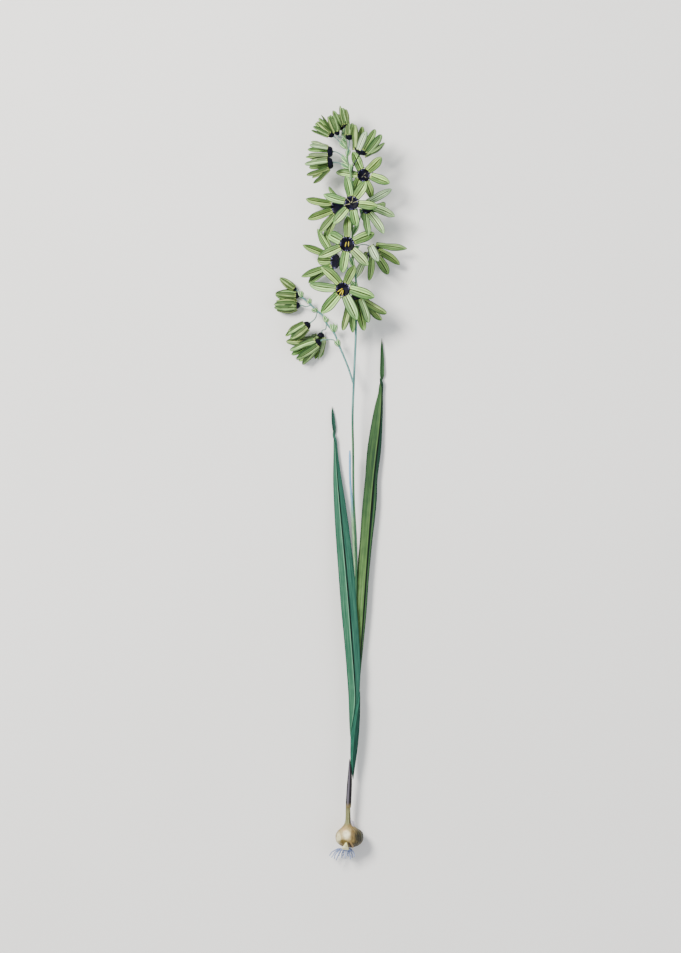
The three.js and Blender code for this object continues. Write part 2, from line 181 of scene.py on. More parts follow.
def lathe(profile, middle, axis, sides, finish=0, mark=plainMark, waviness=None):
    # Profile of (radius, height) turned round an axis, its first and last points closed on the axis; the
    # waviness multiplies the radius by a function of the angle and the height
    axis = unit(np.asarray(axis, float))
    first = unit(np.cross(np.eye(3)[np.argmin(np.abs(axis))], axis))
    height = profile[1:-1, 1]
    radius = profile[1:-1, 0][:, None] * (waviness(turns(sides), height) if waviness else np.ones(sides))
    rings = middle + axis * height[:, None, None] + radius[..., None] * circle(
        first, np.cross(axis, first), sides)
    ends = (middle + axis * profile[0, 1], middle + axis * profile[-1, 1])
    return wrap(rings, ends, np.arange(sides + 1) / sides, finish, mark)


def addObject(name, data):
    # A new object in the scene, for a mesh, a light or a camera
    thing = bpy.data.objects.new(name, data)
    bpy.context.scene.collection.objects.link(thing)
    return thing


def makePiece(name, patches, finishes, node):
    # Patches in millimetres become one mesh in metres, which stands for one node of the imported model
    starts = np.cumsum([0] + [len(p["points"]) for p in patches[:-1]])
    faces = [f for p, s in zip(patches, starts) for block in p["faces"] for f in (block + s).tolist()]
    points = np.concatenate([p["points"] for p in patches]) * page["metresPerMm"]
    mesh = bpy.data.meshes.new(name)
    mesh.from_pydata(points.tolist(), [], faces)
    mesh.uv_layers.new(name="UVMap").data.foreach_set("uv", np.concatenate([p["uv"] for p in patches]))
    mesh.polygons.foreach_set("material_index", np.concatenate([p["finish"] for p in patches]))
    mesh.polygons.foreach_set("use_smooth", np.ones(len(faces), bool))
    marks = np.concatenate([p["mark"] for p in patches])
    paintMarks = mesh.attributes.new("mark", "FLOAT_COLOR", "POINT")
    paintMarks.data.foreach_set("color", np.concatenate([marks, np.ones((len(marks), 1))], 1).ravel())
    for finish in finishes:
        mesh.materials.append(finish)
    work = bmesh.new()
    work.from_mesh(mesh)
    bmesh.ops.recalc_face_normals(work, faces=work.faces)
    work.to_mesh(mesh)
    work.free()
    piece = addObject(name, mesh)
    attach(piece, "root")
    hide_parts(node)


def paint(code):
    # Six hex digits as linear light
    shown = np.array([int(code[i:i + 2], 16) for i in (0, 2, 4)]) / 255
    linear = np.where(shown <= 0.04045, shown / 12.92, ((shown + 0.055) / 1.055) ** 2.4)
    return (*linear.tolist(), 1.0)


def put(tree, kind, inputs=(), **settings):
    # A new node with its settings; an input given as a socket is linked, any other is a value
    node = tree.nodes.new(kind)
    for key, value in settings.items():
        setattr(node, key, value)
    for key, value in dict(inputs).items():
        if isinstance(value, bpy.types.NodeSocket):
            tree.links.new(value, node.inputs[key])
        else:
            node.inputs[key].default_value = value
    return node


def calc(tree, operation, *values):
    # One step of arithmetic on one or two values
    return put(tree, "ShaderNodeMath", enumerate(values), operation=operation).outputs[0]


def times(tree, product, *values):
    # Product of all the values
    for value in values:
        product = calc(tree, "MULTIPLY", product, value)
    return product


def apart(tree, first, second):
    # Distance between two values: the size of their difference
    return calc(tree, "ABSOLUTE", calc(tree, "SUBTRACT", first, second))


def fade(tree, value, low, high):
    # Smooth step from 0 at low to 1 at high; with high under low it runs the other way
    inputs = {"Value": value, "From Min": low, "From Max": high}
    return put(tree, "ShaderNodeMapRange", inputs, interpolation_type="SMOOTHSTEP").outputs["Result"]


def mix(tree, share, first, second):
    # The first colour plus the share of the way to the second
    return put(tree, "ShaderNodeMix", {0: share, 6: first, 7: second}, data_type="RGBA").outputs[2]


def split(tree, vector):
    # X, Y and Z of a vector
    return put(tree, "ShaderNodeSeparateXYZ", {0: vector}).outputs


def bladeGroup(tree):
    # Where on a blade: u across, v along, edge 0 on the midrib and 1 at the margin (twice the distance of u
    # from a half), and the piece's own marks
    u, v, _ = split(tree, put(tree, "ShaderNodeUVMap", uv_map="UVMap").outputs["UV"])
    marks = put(tree, "ShaderNodeAttribute", attribute_name="mark").outputs["Color"]
    tone, shadeHalf, extra = put(tree, "ShaderNodeSeparateColor", {0: marks}).outputs
    edge = times(tree, apart(tree, u, 0.5), 2.0)
    return {"u": u, "v": v, "edge": edge, "tone": tone, "shadeHalf": shadeHalf, "extra": extra}


def pageGroup(tree):
    # Where on the picture, in pixels: metres divided by the size of a pixel, counted from the page's middle
    x, y, _ = split(tree, put(tree, "ShaderNodeTexCoord").outputs["Object"])
    pixel = page["mmPerPixel"] * page["metresPerMm"]
    across = calc(tree, "ADD", calc(tree, "DIVIDE", x, pixel), page["middle"][0])
    down = calc(tree, "SUBTRACT", page["middle"][1], calc(tree, "DIVIDE", y, pixel))
    return {"across": across, "down": down}


def veinGroup(tree, lines, drift, shift):
    # Fine lines along a blade: noise stretched so that it changes fast across and slowly along
    u, v, _ = split(tree, put(tree, "ShaderNodeUVMap", uv_map="UVMap").outputs["UV"])
    stretched = {"X": times(tree, u, lines), "Y": times(tree, v, drift), "Z": shift}
    vector = put(tree, "ShaderNodeCombineXYZ", stretched).outputs[0]
    noise = put(tree, "ShaderNodeTexNoise", {"Vector": vector, "Scale": 1.0, "Detail": 2.0})
    return {"vein": fade(tree, noise.outputs["Fac"], *softness["vein"])}


def mottleGroup(tree, scale):
    # Soft patches, from noise over the piece itself
    where = put(tree, "ShaderNodeTexCoord").outputs["Object"]
    noise = put(tree, "ShaderNodeTexNoise", {"Vector": where, "Scale": scale, "Detail": 3.0}).outputs["Fac"]
    return {"mask": fade(tree, noise, *softness["mottle"]), "height": noise}


def stripeGroup(tree, value, middle, half, soft):
    # 1 within half a width of the middle, falling to 0 over the softness
    beyond = calc(tree, "DIVIDE", calc(tree, "SUBTRACT", apart(tree, value, middle), half), soft)
    return {"mask": fade(tree, beyond, 1.0, 0.0)}


def newGroup(name, work, *labels):
    # A node group whose inputs have the labels and whose outputs are what work gives back
    group = bpy.data.node_groups.new(name, "ShaderNodeTree")
    for label in labels:
        group.interface.new_socket(label, in_out="INPUT", socket_type="NodeSocketFloat")
    given = group.nodes.new("NodeGroupInput").outputs
    results = work(group, *(given[label] for label in labels))
    for label in results:
        group.interface.new_socket(label, in_out="OUTPUT", socket_type="NodeSocketFloat")
    out = group.nodes.new("NodeGroupOutput").inputs
    for label, source in results.items():
        group.links.new(source, out[label])
    return group


shared = {
    "blade": newGroup("place on blade", bladeGroup),
    "page": newGroup("place on page", pageGroup),
    "veins": newGroup("lengthwise veins", veinGroup, "lines", "drift", "shift"),
    "mottle": newGroup("soft mottle", mottleGroup, "scale"),
    "stripe": newGroup("stripe", stripeGroup, "value", "middle", "half", "soft"),
}


def use(tree, name, **inputs):
    # A shared group placed in a material with its own values
    return put(tree, "ShaderNodeGroup", inputs, node_tree=shared[name]).outputs


def maskOf(tree, at, mask):
    # A name alone is the source of that name. With two numbers it is a smooth step from one to the other,
    # and with three a stripe: middle, half width, softness. A mottle has its scale, and an oval its middle
    # and half sizes in picture pixels: it falls from 1 well inside to 0 at its edge.
    name, *numbers = (mask,) if isinstance(mask, str) else mask
    if name == "mottle":
        return use(tree, "mottle", scale=numbers[0])["mask"]
    if name == "oval":
        x, y, halfWidth, halfHeight = numbers
        dx = calc(tree, "DIVIDE", calc(tree, "SUBTRACT", at["across"], x), halfWidth)
        dy = calc(tree, "DIVIDE", calc(tree, "SUBTRACT", at["down"], y), halfHeight)
        squares = calc(tree, "ADD", times(tree, dx, dx), times(tree, dy, dy))
        return fade(tree, calc(tree, "SQRT", squares), *softness["oval"])
    if len(numbers) == 3:
        middle, half, soft = numbers
        return use(tree, "stripe", value=at[name], middle=middle, half=half, soft=soft)["mask"]
    return fade(tree, at[name], *numbers) if numbers else at[name]


def layered(tree, at, ground, layers=()):
    # The ground is one colour, or two that the veins mix. Each layer is a colour or a ground with layers of
    # its own, a share, and masks: it is mixed in by the share times all its masks.
    codes = [paint(code) for code in ground.split()]
    colour = mix(tree, at["vein"], *codes) if len(codes) == 2 else codes[0]
    for cover, share, *masks in layers:
        share = times(tree, share, *(maskOf(tree, at, mask) for mask in masks))
        over = layered(tree, at, *(cover if isinstance(cover, tuple) else (cover,)))
        colour = mix(tree, share, colour, over)
    return colour


# What a look leaves out
plainLook = {"reads": ("blade",), "varied": False, "shine": 0.5, "depth": 0.0002}


def makeFinish(name, look, sources=None):
    # Layered colour with the veins as fine relief. The look names the groups that it reads, and sources
    # works out whatever else its masks need, and its height where that isn't the veins.
    look = {**plainLook, **look}
    material = bpy.data.materials.new(name)
    material.use_nodes = True
    tree = material.node_tree
    shader = tree.nodes["Principled BSDF"]
    shader.inputs["Roughness"].default_value = look["roughness"]
    shader.inputs["Specular IOR Level"].default_value = look["shine"]
    at = {label: socket for group in look["reads"] for label, socket in use(tree, group).items()}
    if "veins" in look:
        lines, drift = look["veins"]
        shift = at["tone"] if look["varied"] else 0.0
        at["vein"] = use(tree, "veins", lines=lines, drift=drift, shift=shift)["vein"]
    if sources:
        at.update(sources(tree, at))
    tree.links.new(layered(tree, at, look["ground"], look["layers"]), shader.inputs["Base Color"])
    if "relief" in look:
        height = at["height"] if "height" in at else at["vein"]
        bump = {"Height": height, "Strength": look["relief"], "Distance": look["depth"]}
        normal = put(tree, "ShaderNodeBump", bump).outputs["Normal"]
        tree.links.new(normal, shader.inputs["Normal"])
    return material


def streakedFinish(name, ground, patch, veins, roughness):
    # Two colours in fine lengthwise streaks, with soft patches of a third
    return makeFinish(name, {
        "reads": (), "ground": ground, "layers": [(patch, 0.4, ("mottle", 420.0))], "veins": veins,
        "roughness": roughness, "relief": 0.3,
    })


tepalLooks = {
    "tepal inside": {
        "glow": "c3ff96", "warm": "daff8e", "field": "35622c", "border": "122c18", "shadeHalf": "234e20",
        "olive": "3c4a20", "line": "161c0c", "foot": "b4cc66", "tip": "477e3e", "pale": "eeffe2",
        "fieldAt": 0.5, "fieldHalf": 0.08, "borderFrom": 0.7, "borderTo": 0.88, "shadeHalfShare": 0.66,
        "lineHalf": 0.05, "lineShare": 0.95, "roughness": 0.5,
    },
    "tepal outside": {
        "glow": "caffa0", "warm": "e6ff9a", "field": "35622e", "border": "0b1e10", "shadeHalf": "1a3e18",
        "olive": "38441c", "line": "1c220e", "foot": "bcd074", "tip": "43783c", "pale": "eaffde",
        "fieldAt": 0.45, "fieldHalf": 0.06, "borderFrom": 0.55, "borderTo": 0.78, "shadeHalfShare": 0.78,
        "lineHalf": 0.05, "lineShare": 0.9, "roughness": 0.52,
    },
}


def tepalSources(tree, at):
    # Broad veins beside the fine ones. A blade with an extra mark above 0 is shaded, in its darker colour
    # and in painted shade; below 0 it is painted paler, whitish and lit, and keeps 1 plus the mark of its
    # veins and of its half of painted shade. That half lies where u and the shadeHalf mark are on the same
    # side of a half.
    sameSide = times(tree, calc(tree, "SUBTRACT", at["u"], 0.5), calc(tree, "SUBTRACT", at["shadeHalf"], 0.5))
    return {
        "broad": use(tree, "veins", lines=6.0, drift=1.5, shift=at["tone"])["vein"],
        "shaded": calc(tree, "MAXIMUM", at["extra"], 0.0),
        "bleach": calc(tree, "MAXIMUM", calc(tree, "MINIMUM", times(tree, at["extra"], -1.0), 0.8), 0.0),
        "kept": calc(tree, "MINIMUM", calc(tree, "ADD", at["extra"], 1.0), 1.0),
        "sameSide": sameSide,
    }


def tepalFinish(name):
    # From the midrib line outwards a pale band, a green stripe, a pale rim and a dark green edge, which on
    # the outside of a bell also paints the shade between the tepals, crossed by broad and fine veins. One
    # half takes a painted shade of darker green, as do the corners of the foot; the foot is creamy, a shaded
    # blade olive but for its rim, and a blade marked below 0 paler, whitish and painted light
    look = tepalLooks[name]
    layers = [
        (look["warm"], 1.0, "tone"),
        # Paler where the extra mark is below 0: whitish tepals and painted light
        (look["pale"], 1.0, "bleach"),
        (look["field"], 0.66, ("edge", look["fieldAt"], look["fieldHalf"], 0.16)),
        (look["field"], 0.42, ("broad", 0.5, 0.9), "kept"),
        (look["border"], 0.24, ("vein", 0.55, 1.0), "kept"),
        # Dark green edge; on the outside of a bell it also paints the shade between the tepals
        (look["border"], 0.9, ("edge", look["borderFrom"], look["borderTo"])),
        (look["tip"], 0.4, ("v", 0.65, 0.98)),
        # One half of the blade darker green: painted shade
        (look["shadeHalf"], look["shadeHalfShare"], ("sameSide", -0.01, 0.05), "kept"),
        # Olive where the extra mark is above 0: the darker tepals' colour and painted shade
        (look["olive"], 0.95, "shaded", ("edge", 0.95, 0.65)),
        (look["foot"], 0.7, ("v", 0.1, 0.03), ("edge", 0.75, 0.4)),
        # Dark corners of the foot: painted shade between the tepals
        (look["border"], 1.0, ("v", 0.09, 0.03), ("edge", 0.5, 0.85)),
        (look["line"], look["lineShare"], ("u", 0.5, look["lineHalf"], 0.03), ("v", 0.01, 0.05),
         ("v", 0.98, 0.85)),
    ]
    return makeFinish(name, {
        **look, "veins": (18.0, 2.2), "varied": True, "shine": 0.15, "relief": 0.35,
        "ground": look["glow"], "layers": layers,
    }, tepalSources)


# Blue-black cup with violet streaks, a painted sheen, and pale flecks inside the rim, painted highlights.
# Where the extra mark is 1, six cream gaps part it into dark ovals and fade away from the cup's upper side.
eyeLook = {
    "ground": "040409", "veins": (40.0, 1.6), "varied": True, "roughness": 0.5, "shine": 0.1,
    "relief": 0.4, "gapTurn": 0.036, "gapMiddle": 0.55,
    "layers": [
        # Violet streaks: a painted sheen
        ("0d0d2c", 0.55, "vein"),
        # Pale flecks inside the rim: painted highlights
        ("8a88b4", 0.75, ("vein", 0.84, 0.98), ("v", 0.51, 0.56), ("v", 0.76, 0.64)),
        ("b4b684", 1.0, ("six", 0.16, 0.05), ("v", 0.53, 0.58), ("away", 0.36, 0.26), "extra"),
    ],
}


def eyeSources(tree, at):
    # The gaps lie where the sine of six half turns round the cup is near 0; away is how far u is from the
    # upper side
    around = times(tree, calc(tree, "ADD", at["u"], eyeLook["gapTurn"]), 6 * math.pi)
    six = calc(tree, "ABSOLUTE", calc(tree, "SINE", around))
    return {"six": six, "away": apart(tree, at["u"], eyeLook["gapMiddle"])}


# Radius and height of the profile run from the flat base, counted from the widest ring, to the neck's end.
# Ribs have a size, a number and an angle each. The body, the shoulder and the crease are bell curves: their
# middle height and spread along it, and their spread round it in radians.
cormShape = {
    "middle": (349.5, 837.1, 9.1), "lean": 0.4, "sides": 96, "neckAside": (-0.85, 1.0, 9.0),
    "profile": [
        (0, -7.1), (2.5, -6.9), (5.8, -5.8), (8.2, -3.6), (9, -0.2), (8.6, 2), (7.3, 3.8), (4.6, 6),
        (2.7, 8.1), (1.95, 10.2), (1.7, 13), (1.6, 17), (1.5, 20.2),
    ],
    "rings": 110, "close": 0.05, "ribs": ((0.012, 22, 0.0), (0.0084, 9, 1.3)), "bodyAlong": (-0.5, 5.5),
    "shoulder": 0.07, "shoulderAlong": (4.2, 2.2), "shoulderRound": 0.9, "shoulderTowards": (1, 0, 0),
    "crease": 0.045, "creaseRound": 0.09, "creaseTowards": (0.26, 0, 0.97),
}
# Netted tunic: a streaked ground, soft oval patches, and the fibres between the meshes, which show most on
# the right flank; creamy neck, dark on its right. Of the ovals, the white one is a painted highlight, the
# pale one at the far left partly the paler new corm and partly painted light, and the dark ones low on the
# left and over the right flank painted shade, on the right over the darker older tunic
cormLook = {
    "reads": ("blade", "page"), "ground": "6f5c30 9a8450", "veins": (60.0, 3.0), "roughness": 0.5,
    "shine": 0.3, "relief": 0.5, "depth": 0.0003, "meshes": (34.0, 11.0), "flank": (350.5, 357.0),
    "layers": [
        ("d6c28c", 0.85, ("oval", 345.8, 834.2, 8.6, 9.5)),
        # Pale patch at the far left: the paler new corm and painted light
        ("ece4b4", 0.8, ("oval", 338.4, 838.5, 3.6, 8.5)),
        ("e0a878", 0.45, ("oval", 344.4, 829.6, 3.0, 2.4)),
        # White oval: painted highlight
        ("fff6cc", 1.0, ("oval", 346.2, 834.6, 5.2, 5.4)),
        # Olive-brown low on the left, above the foot: painted shade
        ("5d4f12", 0.85, ("oval", 343.4, 841.6, 6.4, 3.0)),
        ("6f5730", 0.75, ("oval", 352.2, 834.4, 2.4, 7.5)),
        # The two dark ovals on the right: painted shade over the darker older tunic
        ("0f0f06", 1.0, ("oval", 360.4, 836.5, 8.2, 13.0)),
        ("0e140c", 0.8, ("oval", 355.2, 845.6, 5.6, 4.6)),
        ("5c4c24", 0.35, ("mottle", 330.0)),
        ("0f0d07", 1.0, "fibre", "shown"),
        ("5f5c34", 0.35, ("vein", 0.5, 0.9), "dark"),
        (("62603a 94986a", [
            ("5f5a3a", 1.0, ("down", 813.0, 806.5)),
            ("2c2412", 0.8, ("across", 348.7, 349.7), ("down", 811.0, 814.0)),
        ]), 1.0, ("down", 827.0, 823.0)),
    ],
}


def cormSources(tree, at):
    # Fibres are the edges of cells laid round and along the corm; they show by 0.1 plus 0.4 of the dark
    # flank, and stand up with the veins
    around, along = cormLook["meshes"]
    net = {"X": times(tree, at["u"], around), "Y": times(tree, at["v"], along)}
    vector = put(tree, "ShaderNodeCombineXYZ", net).outputs[0]
    cells = put(tree, "ShaderNodeTexVoronoi", {"Vector": vector, "Scale": 1.0}, feature="DISTANCE_TO_EDGE")
    fibre = fade(tree, cells.outputs["Distance"], 0.2, 0.04)
    dark = fade(tree, at["across"], *cormLook["flank"])
    shown = calc(tree, "ADD", times(tree, dark, 0.4), 0.1)
    return {"fibre": fibre, "dark": dark, "shown": shown, "height": calc(tree, "ADD", fibre, at["vein"])}


def cormPatches():
    # Onion shape: each radius is swelled by shallow ribs and by a shoulder on the right flank, and drawn in
    # along a crease down the front; each is a bell curve round the axis times one along it. The neck stands
    # aside of the body by a smooth step over its height.
    outline = smoothPath(cormShape["profile"], cormShape["rings"])
    outline = np.concatenate([outline, [(0, outline[-1, 1] + cormShape["close"])]])
    lean = math.radians(cormShape["lean"])
    axis = np.array([-math.sin(lean), math.cos(lean), 0])
    first = unit(np.cross(skyward, axis))
    second = np.cross(axis, first)

    def near(turn, swell):
        # Bell curve round the axis, about the way that the swell faces, times its size
        towards = cormShape[swell + "Towards"]
        at = math.atan2(np.dot(towards, second), np.dot(towards, first))
        off = np.mod(turn - at + np.pi, 2 * np.pi)
        return cormShape[swell] * bell(off, np.pi, cormShape[swell + "Round"])

    def waves(turn, height):
        # What the radius is multiplied by at each height and angle
        body = bell(height, *cormShape["bodyAlong"])[:, None]
        ribs = sum(size * np.cos(count * turn + start) for size, count, start in cormShape["ribs"])
        shoulder = near(turn, "shoulder") * bell(height, *cormShape["shoulderAlong"])[:, None]
        return 1 + ribs * body + shoulder - near(turn, "crease") * body

    middle = onPage(cormShape["middle"])
    patch = lathe(outline, middle, axis, cormShape["sides"], waviness=waves)
    aside, low, high = cormShape["neckAside"]
    height = patch["points"][:, 1] - middle[1]
    patch["points"][:, 0] += aside * ease(np.clip((height - low) / (high - low), 0, 1))
    return [patch]


# Old scales at the corm's foot, and between them a dark strip that paints the shade of a crevice: start,
# bend and end, half widths there in millimetres, half thickness and finish; the ends are rounded off by
# ramps
footEnds = {"width": (9, 0.15), "thick": (6, 0.2)}
footScales = [
    ([(346.2, 842.4, 17.1), (345.7, 846.4, 17.4), (345.1, 850.2, 10.6)], (0.5, 2.5), 0.9, 1),
    # Dark strip along the crevice beside the cream scale: painted shade
    ([(348.3, 842.2, 17.5), (350, 844.8, 16.6), (351.6, 847.9, 12.4)], (0.35, 0.75), 0.35, 2),
    ([(349.9, 841, 18), (352, 844.2, 17.4), (353.2, 848.2, 12.2)], (0.3, 0.7), 0.4, 3),
]


def footScalePatches():
    # Each scale is a thin blade along a quadratic curve, its width running evenly from one end to the other
    # and rounded off at both
    patches = []
    t = np.linspace(0, 1, 24)
    inside = np.minimum(t, 1 - t)
    for route, (narrow, wide), halfThick, finish in footScales:
        midrib = bezier(*onPage(route), t)
        run = heading(midrib)
        side = unit(np.cross(run, skyward))
        width = (narrow + (wide - narrow) * t) * ramp(inside, *footEnds["width"]) ** 0.5
        thick = halfThick * ramp(inside, *footEnds["thick"])
        patches.append(blade(midrib, side, np.cross(side, run), (width, width), thick,
                             lambda across: 0 * across, 20, (finish, finish)))
    return patches


makePiece("corm_tunic", cormPatches() + footScalePatches(), [
    makeFinish("netted tunic", cormLook, cormSources),
    streakedFinish("cream scale", "efec9c fffccc", "b4ab58", (12.0, 3.0), 0.55),
    # Painted shade for the crevice strip
    streakedFinish("crevice shade", "1b140b 3a2c1a", "120d08", (8.0, 3.0), 0.7),
    streakedFinish("tan scale", "86683c b08f58", "6a5230", (8.0, 3.0), 0.6),
], "corm")
print("corm done")

# A thread leaves the plate at start and bends at bend: shares of its reach sideways and in height, and how
# far up the page in millimetres between them
rootShape = {
    "middle": (346.3, 850.2, 8.4), "radius": 2.9, "halfHeight": 1.1, "thread": 0.5, "taper": 0.35,
    "start": (0.42, 0.7, 0.25), "bend": (0.14, 0.9, 0.12), "wave": 0.22, "rise": 0.7,
    "waves": (1.2, 2.2), "spread": (0.85, 1.15),
    "tips": [
        (329.4, 856.3, 6), (331.8, 858, 11), (333.8, 859.6, 5), (336.5, 860.7, 10.5), (341.5, 858.6, 6.5),
        (345.4, 858.9, 11), (347.9, 857.2, 5), (350.4, 859.8, 9.5), (352.6, 858.5, 5.5), (354.9, 857.1, 10),
        (339, 856.6, 3), (343.4, 856.8, 2.5),
    ],
}


def rootPatches():
    # Flattened ball for the plate; each thread leaves it, bends outwards and down, tapers to its tip and
    # waves to the sides by a sine that grows along it
    draw = np.random.default_rng(seeds["roots"])
    middle = onPage(rootShape["middle"])
    a = np.linspace(0, np.pi, 16)
    plate = np.stack([rootShape["radius"] * np.sin(a), -rootShape["halfHeight"] * np.cos(a)], -1)
    patches = [lathe(plate, middle, (0, 1, 0), 24)]
    t = np.linspace(0, 1, 26)
    for tip in onPage(rootShape["tips"]):
        reach = (tip - middle) * (1, 0, 1) + (0, 1, 0)
        start = middle + reach * rootShape["start"]
        path = bezier(start, (start + tip) / 2 + reach * rootShape["bend"], tip, t)
        turn = 2 * np.pi * (t * draw.uniform(*rootShape["waves"]) + draw.uniform())
        wave = rootShape["wave"] * np.sin(turn) * t
        path[:, 0] += wave
        path[:, 2] += rootShape["rise"] * wave[::-1] * t
        thread = rootShape["thread"] * (1 - rootShape["taper"] * t) * draw.uniform(*rootShape["spread"])
        patches.append(rod(path, thread, 8, 0, (draw.uniform(), 0.5, 0)))
    return patches


rootThread = streakedFinish("pale root", "6472a0 acbbdc", "4c5a86", (6.0, 10.0), 0.6)
makePiece("root_fringe", rootPatches(), [rootThread], "roots")

shootShape = {
    "foot": (353.4, 827, 11.4),
    "tips": [(353.1, 820.4, 11.8), (350.7, 818.9, 12.4), (352.2, 821.8, 12.8)],
    "halfWidth": 0.85,
}
scaleShape = {
    "bow": 0.1, "start": 0.22, "late": 1.2, "blunt": 1.15, "hollow": 0.45, "halfThick": (0.14, 0.1),
}


def scales(foot, tips, halfWidth, outwards, tones):
    # Small pointed scales from one foot: widest a little below the middle, by a power of a sine, and hollow
    # towards their neighbours by the square of the distance from the midrib
    t = np.linspace(0, 1, 15)
    footThick, tipThick = scaleShape["halfThick"]
    start = scaleShape["start"]
    swell = np.sin(np.pi * (start + (1 - start) * t ** scaleShape["late"])) ** scaleShape["blunt"]
    patches = []
    for tip, tone in zip(tips, tones):
        bow = outwards * scaleShape["bow"] * np.linalg.norm(tip - foot)
        midrib = bezier(foot, (foot + tip) / 2 + bow, tip, t)
        run = heading(midrib)
        side = unit(np.cross(outwards, run))
        width = halfWidth * swell
        hollow = width[:, None] * scaleShape["hollow"]
        thick = tipThick + (footThick - tipThick) * (1 - t)
        patches.append(blade(midrib, side, np.cross(run, side), (width, width), thick,
                             lambda across: -hollow * across**2, 12, mark=(tone, 0.5, 0)))
    return patches


shootScales = scales(onPage(shootShape["foot"]), onPage(shootShape["tips"]), shootShape["halfWidth"],
                     np.array([0.1, 0.1, 1.0]), (0.3, 0.6, 0.9))
whiteBud = streakedFinish("white shoot", "8a8498 e6e2e6", "6f6276", (5.0, 2.0), 0.5)
makePiece("shoot_scales", shootScales, [whiteBud], "shoot_bud")
print("roots and shoot done")

stemShape = {
    "main": [
        (344.3, 134, 20), (345.5, 140, 20), (347, 150, 20.2), (347.8, 163, 20.8), (350, 170, 21.2),
        (352, 185, 20.8), (352.5, 205, 20.2), (352.3, 230, 20), (352.7, 258, 20), (355.8, 279.5, 19.7),
        (356, 300, 19), (355.9, 330, 17.5), (353.7, 384.2, 14.5), (352.6, 416.8, 13), (353.1, 449.3, 12),
        (353.7, 499.2, 10.8), (356, 543.8, 9.4), (355.9, 575, 8.5), (355.4, 605, 7.9), (354.8, 640, 7.7),
        (354, 690, 7.7), (352.5, 740, 7.7), (350.8, 774, 7.7),
    ],
    "side": [
        (302.4, 297, 6.6), (311, 304.5, 6.6), (317.5, 311, 6.8), (322, 314.5, 7), (326.5, 323, 7.6),
        (333.9, 332.4, 8.6), (340, 347.4, 10), (347.7, 366, 12), (353.7, 384.2, 14.5),
    ],
    "radii": (0.66, 0.85), "sideRadii": (0.52, 0.68),
    "taper": 0.8, "nodeSwell": 0.09, "nodeLength": 1.1,
}
mainPath = smoothPath(onPage(stemShape["main"]), 420)
sidePath = smoothPath(onPage(stemShape["side"]), 150)


def onStem(path, py):
    # The point of a stem at the picture height py
    return path[np.argmin(np.abs(path[:, 1] - onPage((0, py, 0))[1]))]


# Bracts: the picture height at which they leave the stem, and the tip of the pair or the tip of each scale
mainBracts = {
    "a": (148.5, (338.6, 141, 20.4)), "b": (143, (341.2, 137.4, 23)), "c": (134, (345.2, 127.9, 20.8)),
    "d": (156, (348.6, 149.2, 23.6)), "e": (173.5, (351.3, 163.4, 24.3)), "f": (164.5, (340.8, 154.8, 18.6)),
    "g": (186, (357.5, 180.7, 17.6)), "h": (222, (356.9, 209, 25)), "i": (222, (345.5, 215.8, 17.2)),
    "j": (236, (358.4, 223.4, 20.5)), "k": (268.5, (349.8, 257.6, 24.3)), "l": (274, (347.5, 268.5, 17.3)),
    "m": (251, (358.9, 245.6, 18.8)), "n": (288, (349.8, 281.4, 23.8)), "o": (281.5, (354.8, 289, 23)),
    "v": (137, (342, 131.2, 18)), "w": (169, (340.5, 164, 21.4)),
}
sideBracts = {
    "q": (296.6, [(298, 290.6, 8.4), (301.2, 290.1, 8.8)]),
    "r": (304, [(307, 299.8, 7.8), (309.4, 297.2, 8.2)]),
    "s": (311.3, [(310.5, 309.2, 9.2), (314.6, 307.6, 9.6)]),
    "u": (323, [(323.3, 314.2, 10.2), (328, 317.4, 10.4)]),
    "x": (332.4, [(329.8, 323, 11), (333.4, 322.4, 11.8), (337.4, 323.4, 11)]),
    "t": (347, [(333.7, 340, 13.2), (337.3, 338, 13.8)]),
}
# Pale blue-green near the spike, greener and olive lower
stemLook = {
    "reads": ("page",), "ground": "1f4a34 3f6a48", "veins": (9.0, 30.0), "roughness": 0.45, "shine": 0.25,
    "relief": 0.3,
    "layers": [
        ("336460 6a9a96", 1.0, ("down", 440.0, 384.0)), ("3c6340 70935e", 1.0, ("down", 300.0, 253.846)),
    ],
}


def stemPatches():
    # Tapered tubes; the radius swells a little at each node, as a narrow bell curve along the stem
    patches = []
    plans = ((mainPath, stemShape["radii"], mainBracts), (sidePath, stemShape["sideRadii"], sideBracts))
    for path, (top, foot), bracts in plans:
        run = np.append(0, np.cumsum(np.linalg.norm(np.diff(path, axis=0), axis=1)))
        heights = onPage([(0, plan[0], 0) for plan in bracts.values()])[:, 1]
        near = bell(path[:, 1][:, None], heights, stemShape["nodeLength"]).sum(1)
        swell = stemShape["nodeSwell"] * np.minimum(near, 1)
        patches.append(rod(path, top + (foot - top) * (run / run[-1]) ** stemShape["taper"] + swell, 12))
    return patches


makePiece("stem_and_branch", stemPatches(), [makeFinish("wiry stem", stemLook)], "stem")

stemLeafShape = {
    "spots": [
        (349.9, 450.4, 13), (350.2, 480, 12.4), (351.5, 500, 12.2), (353.1, 530, 11.2),
        (354.3, 556.5, 10.5), (355.3, 578, 9.9),
    ],
    "halfWidth": 0.75, "halfThick": 0.25, "hollow": 0.3, "thinning": (8, 0.1),
    # Share of the width at the first spot, how steeply it widens there and narrows at the last, least share
    "ends": (0.45, 12, 6, 0.05), "blunt": 0.7,
}
# Pale blue-white at the top, yellowish green lower down
stemLeafLook = {
    "ground": "447fa8 84b4d6", "veins": (10.0, 14.0), "roughness": 0.5, "shine": 0.2,
    "relief": 0.3, "layers": [("4a7a50 96bd8c", 1.0, ("v", 0.28, 0.6))],
}


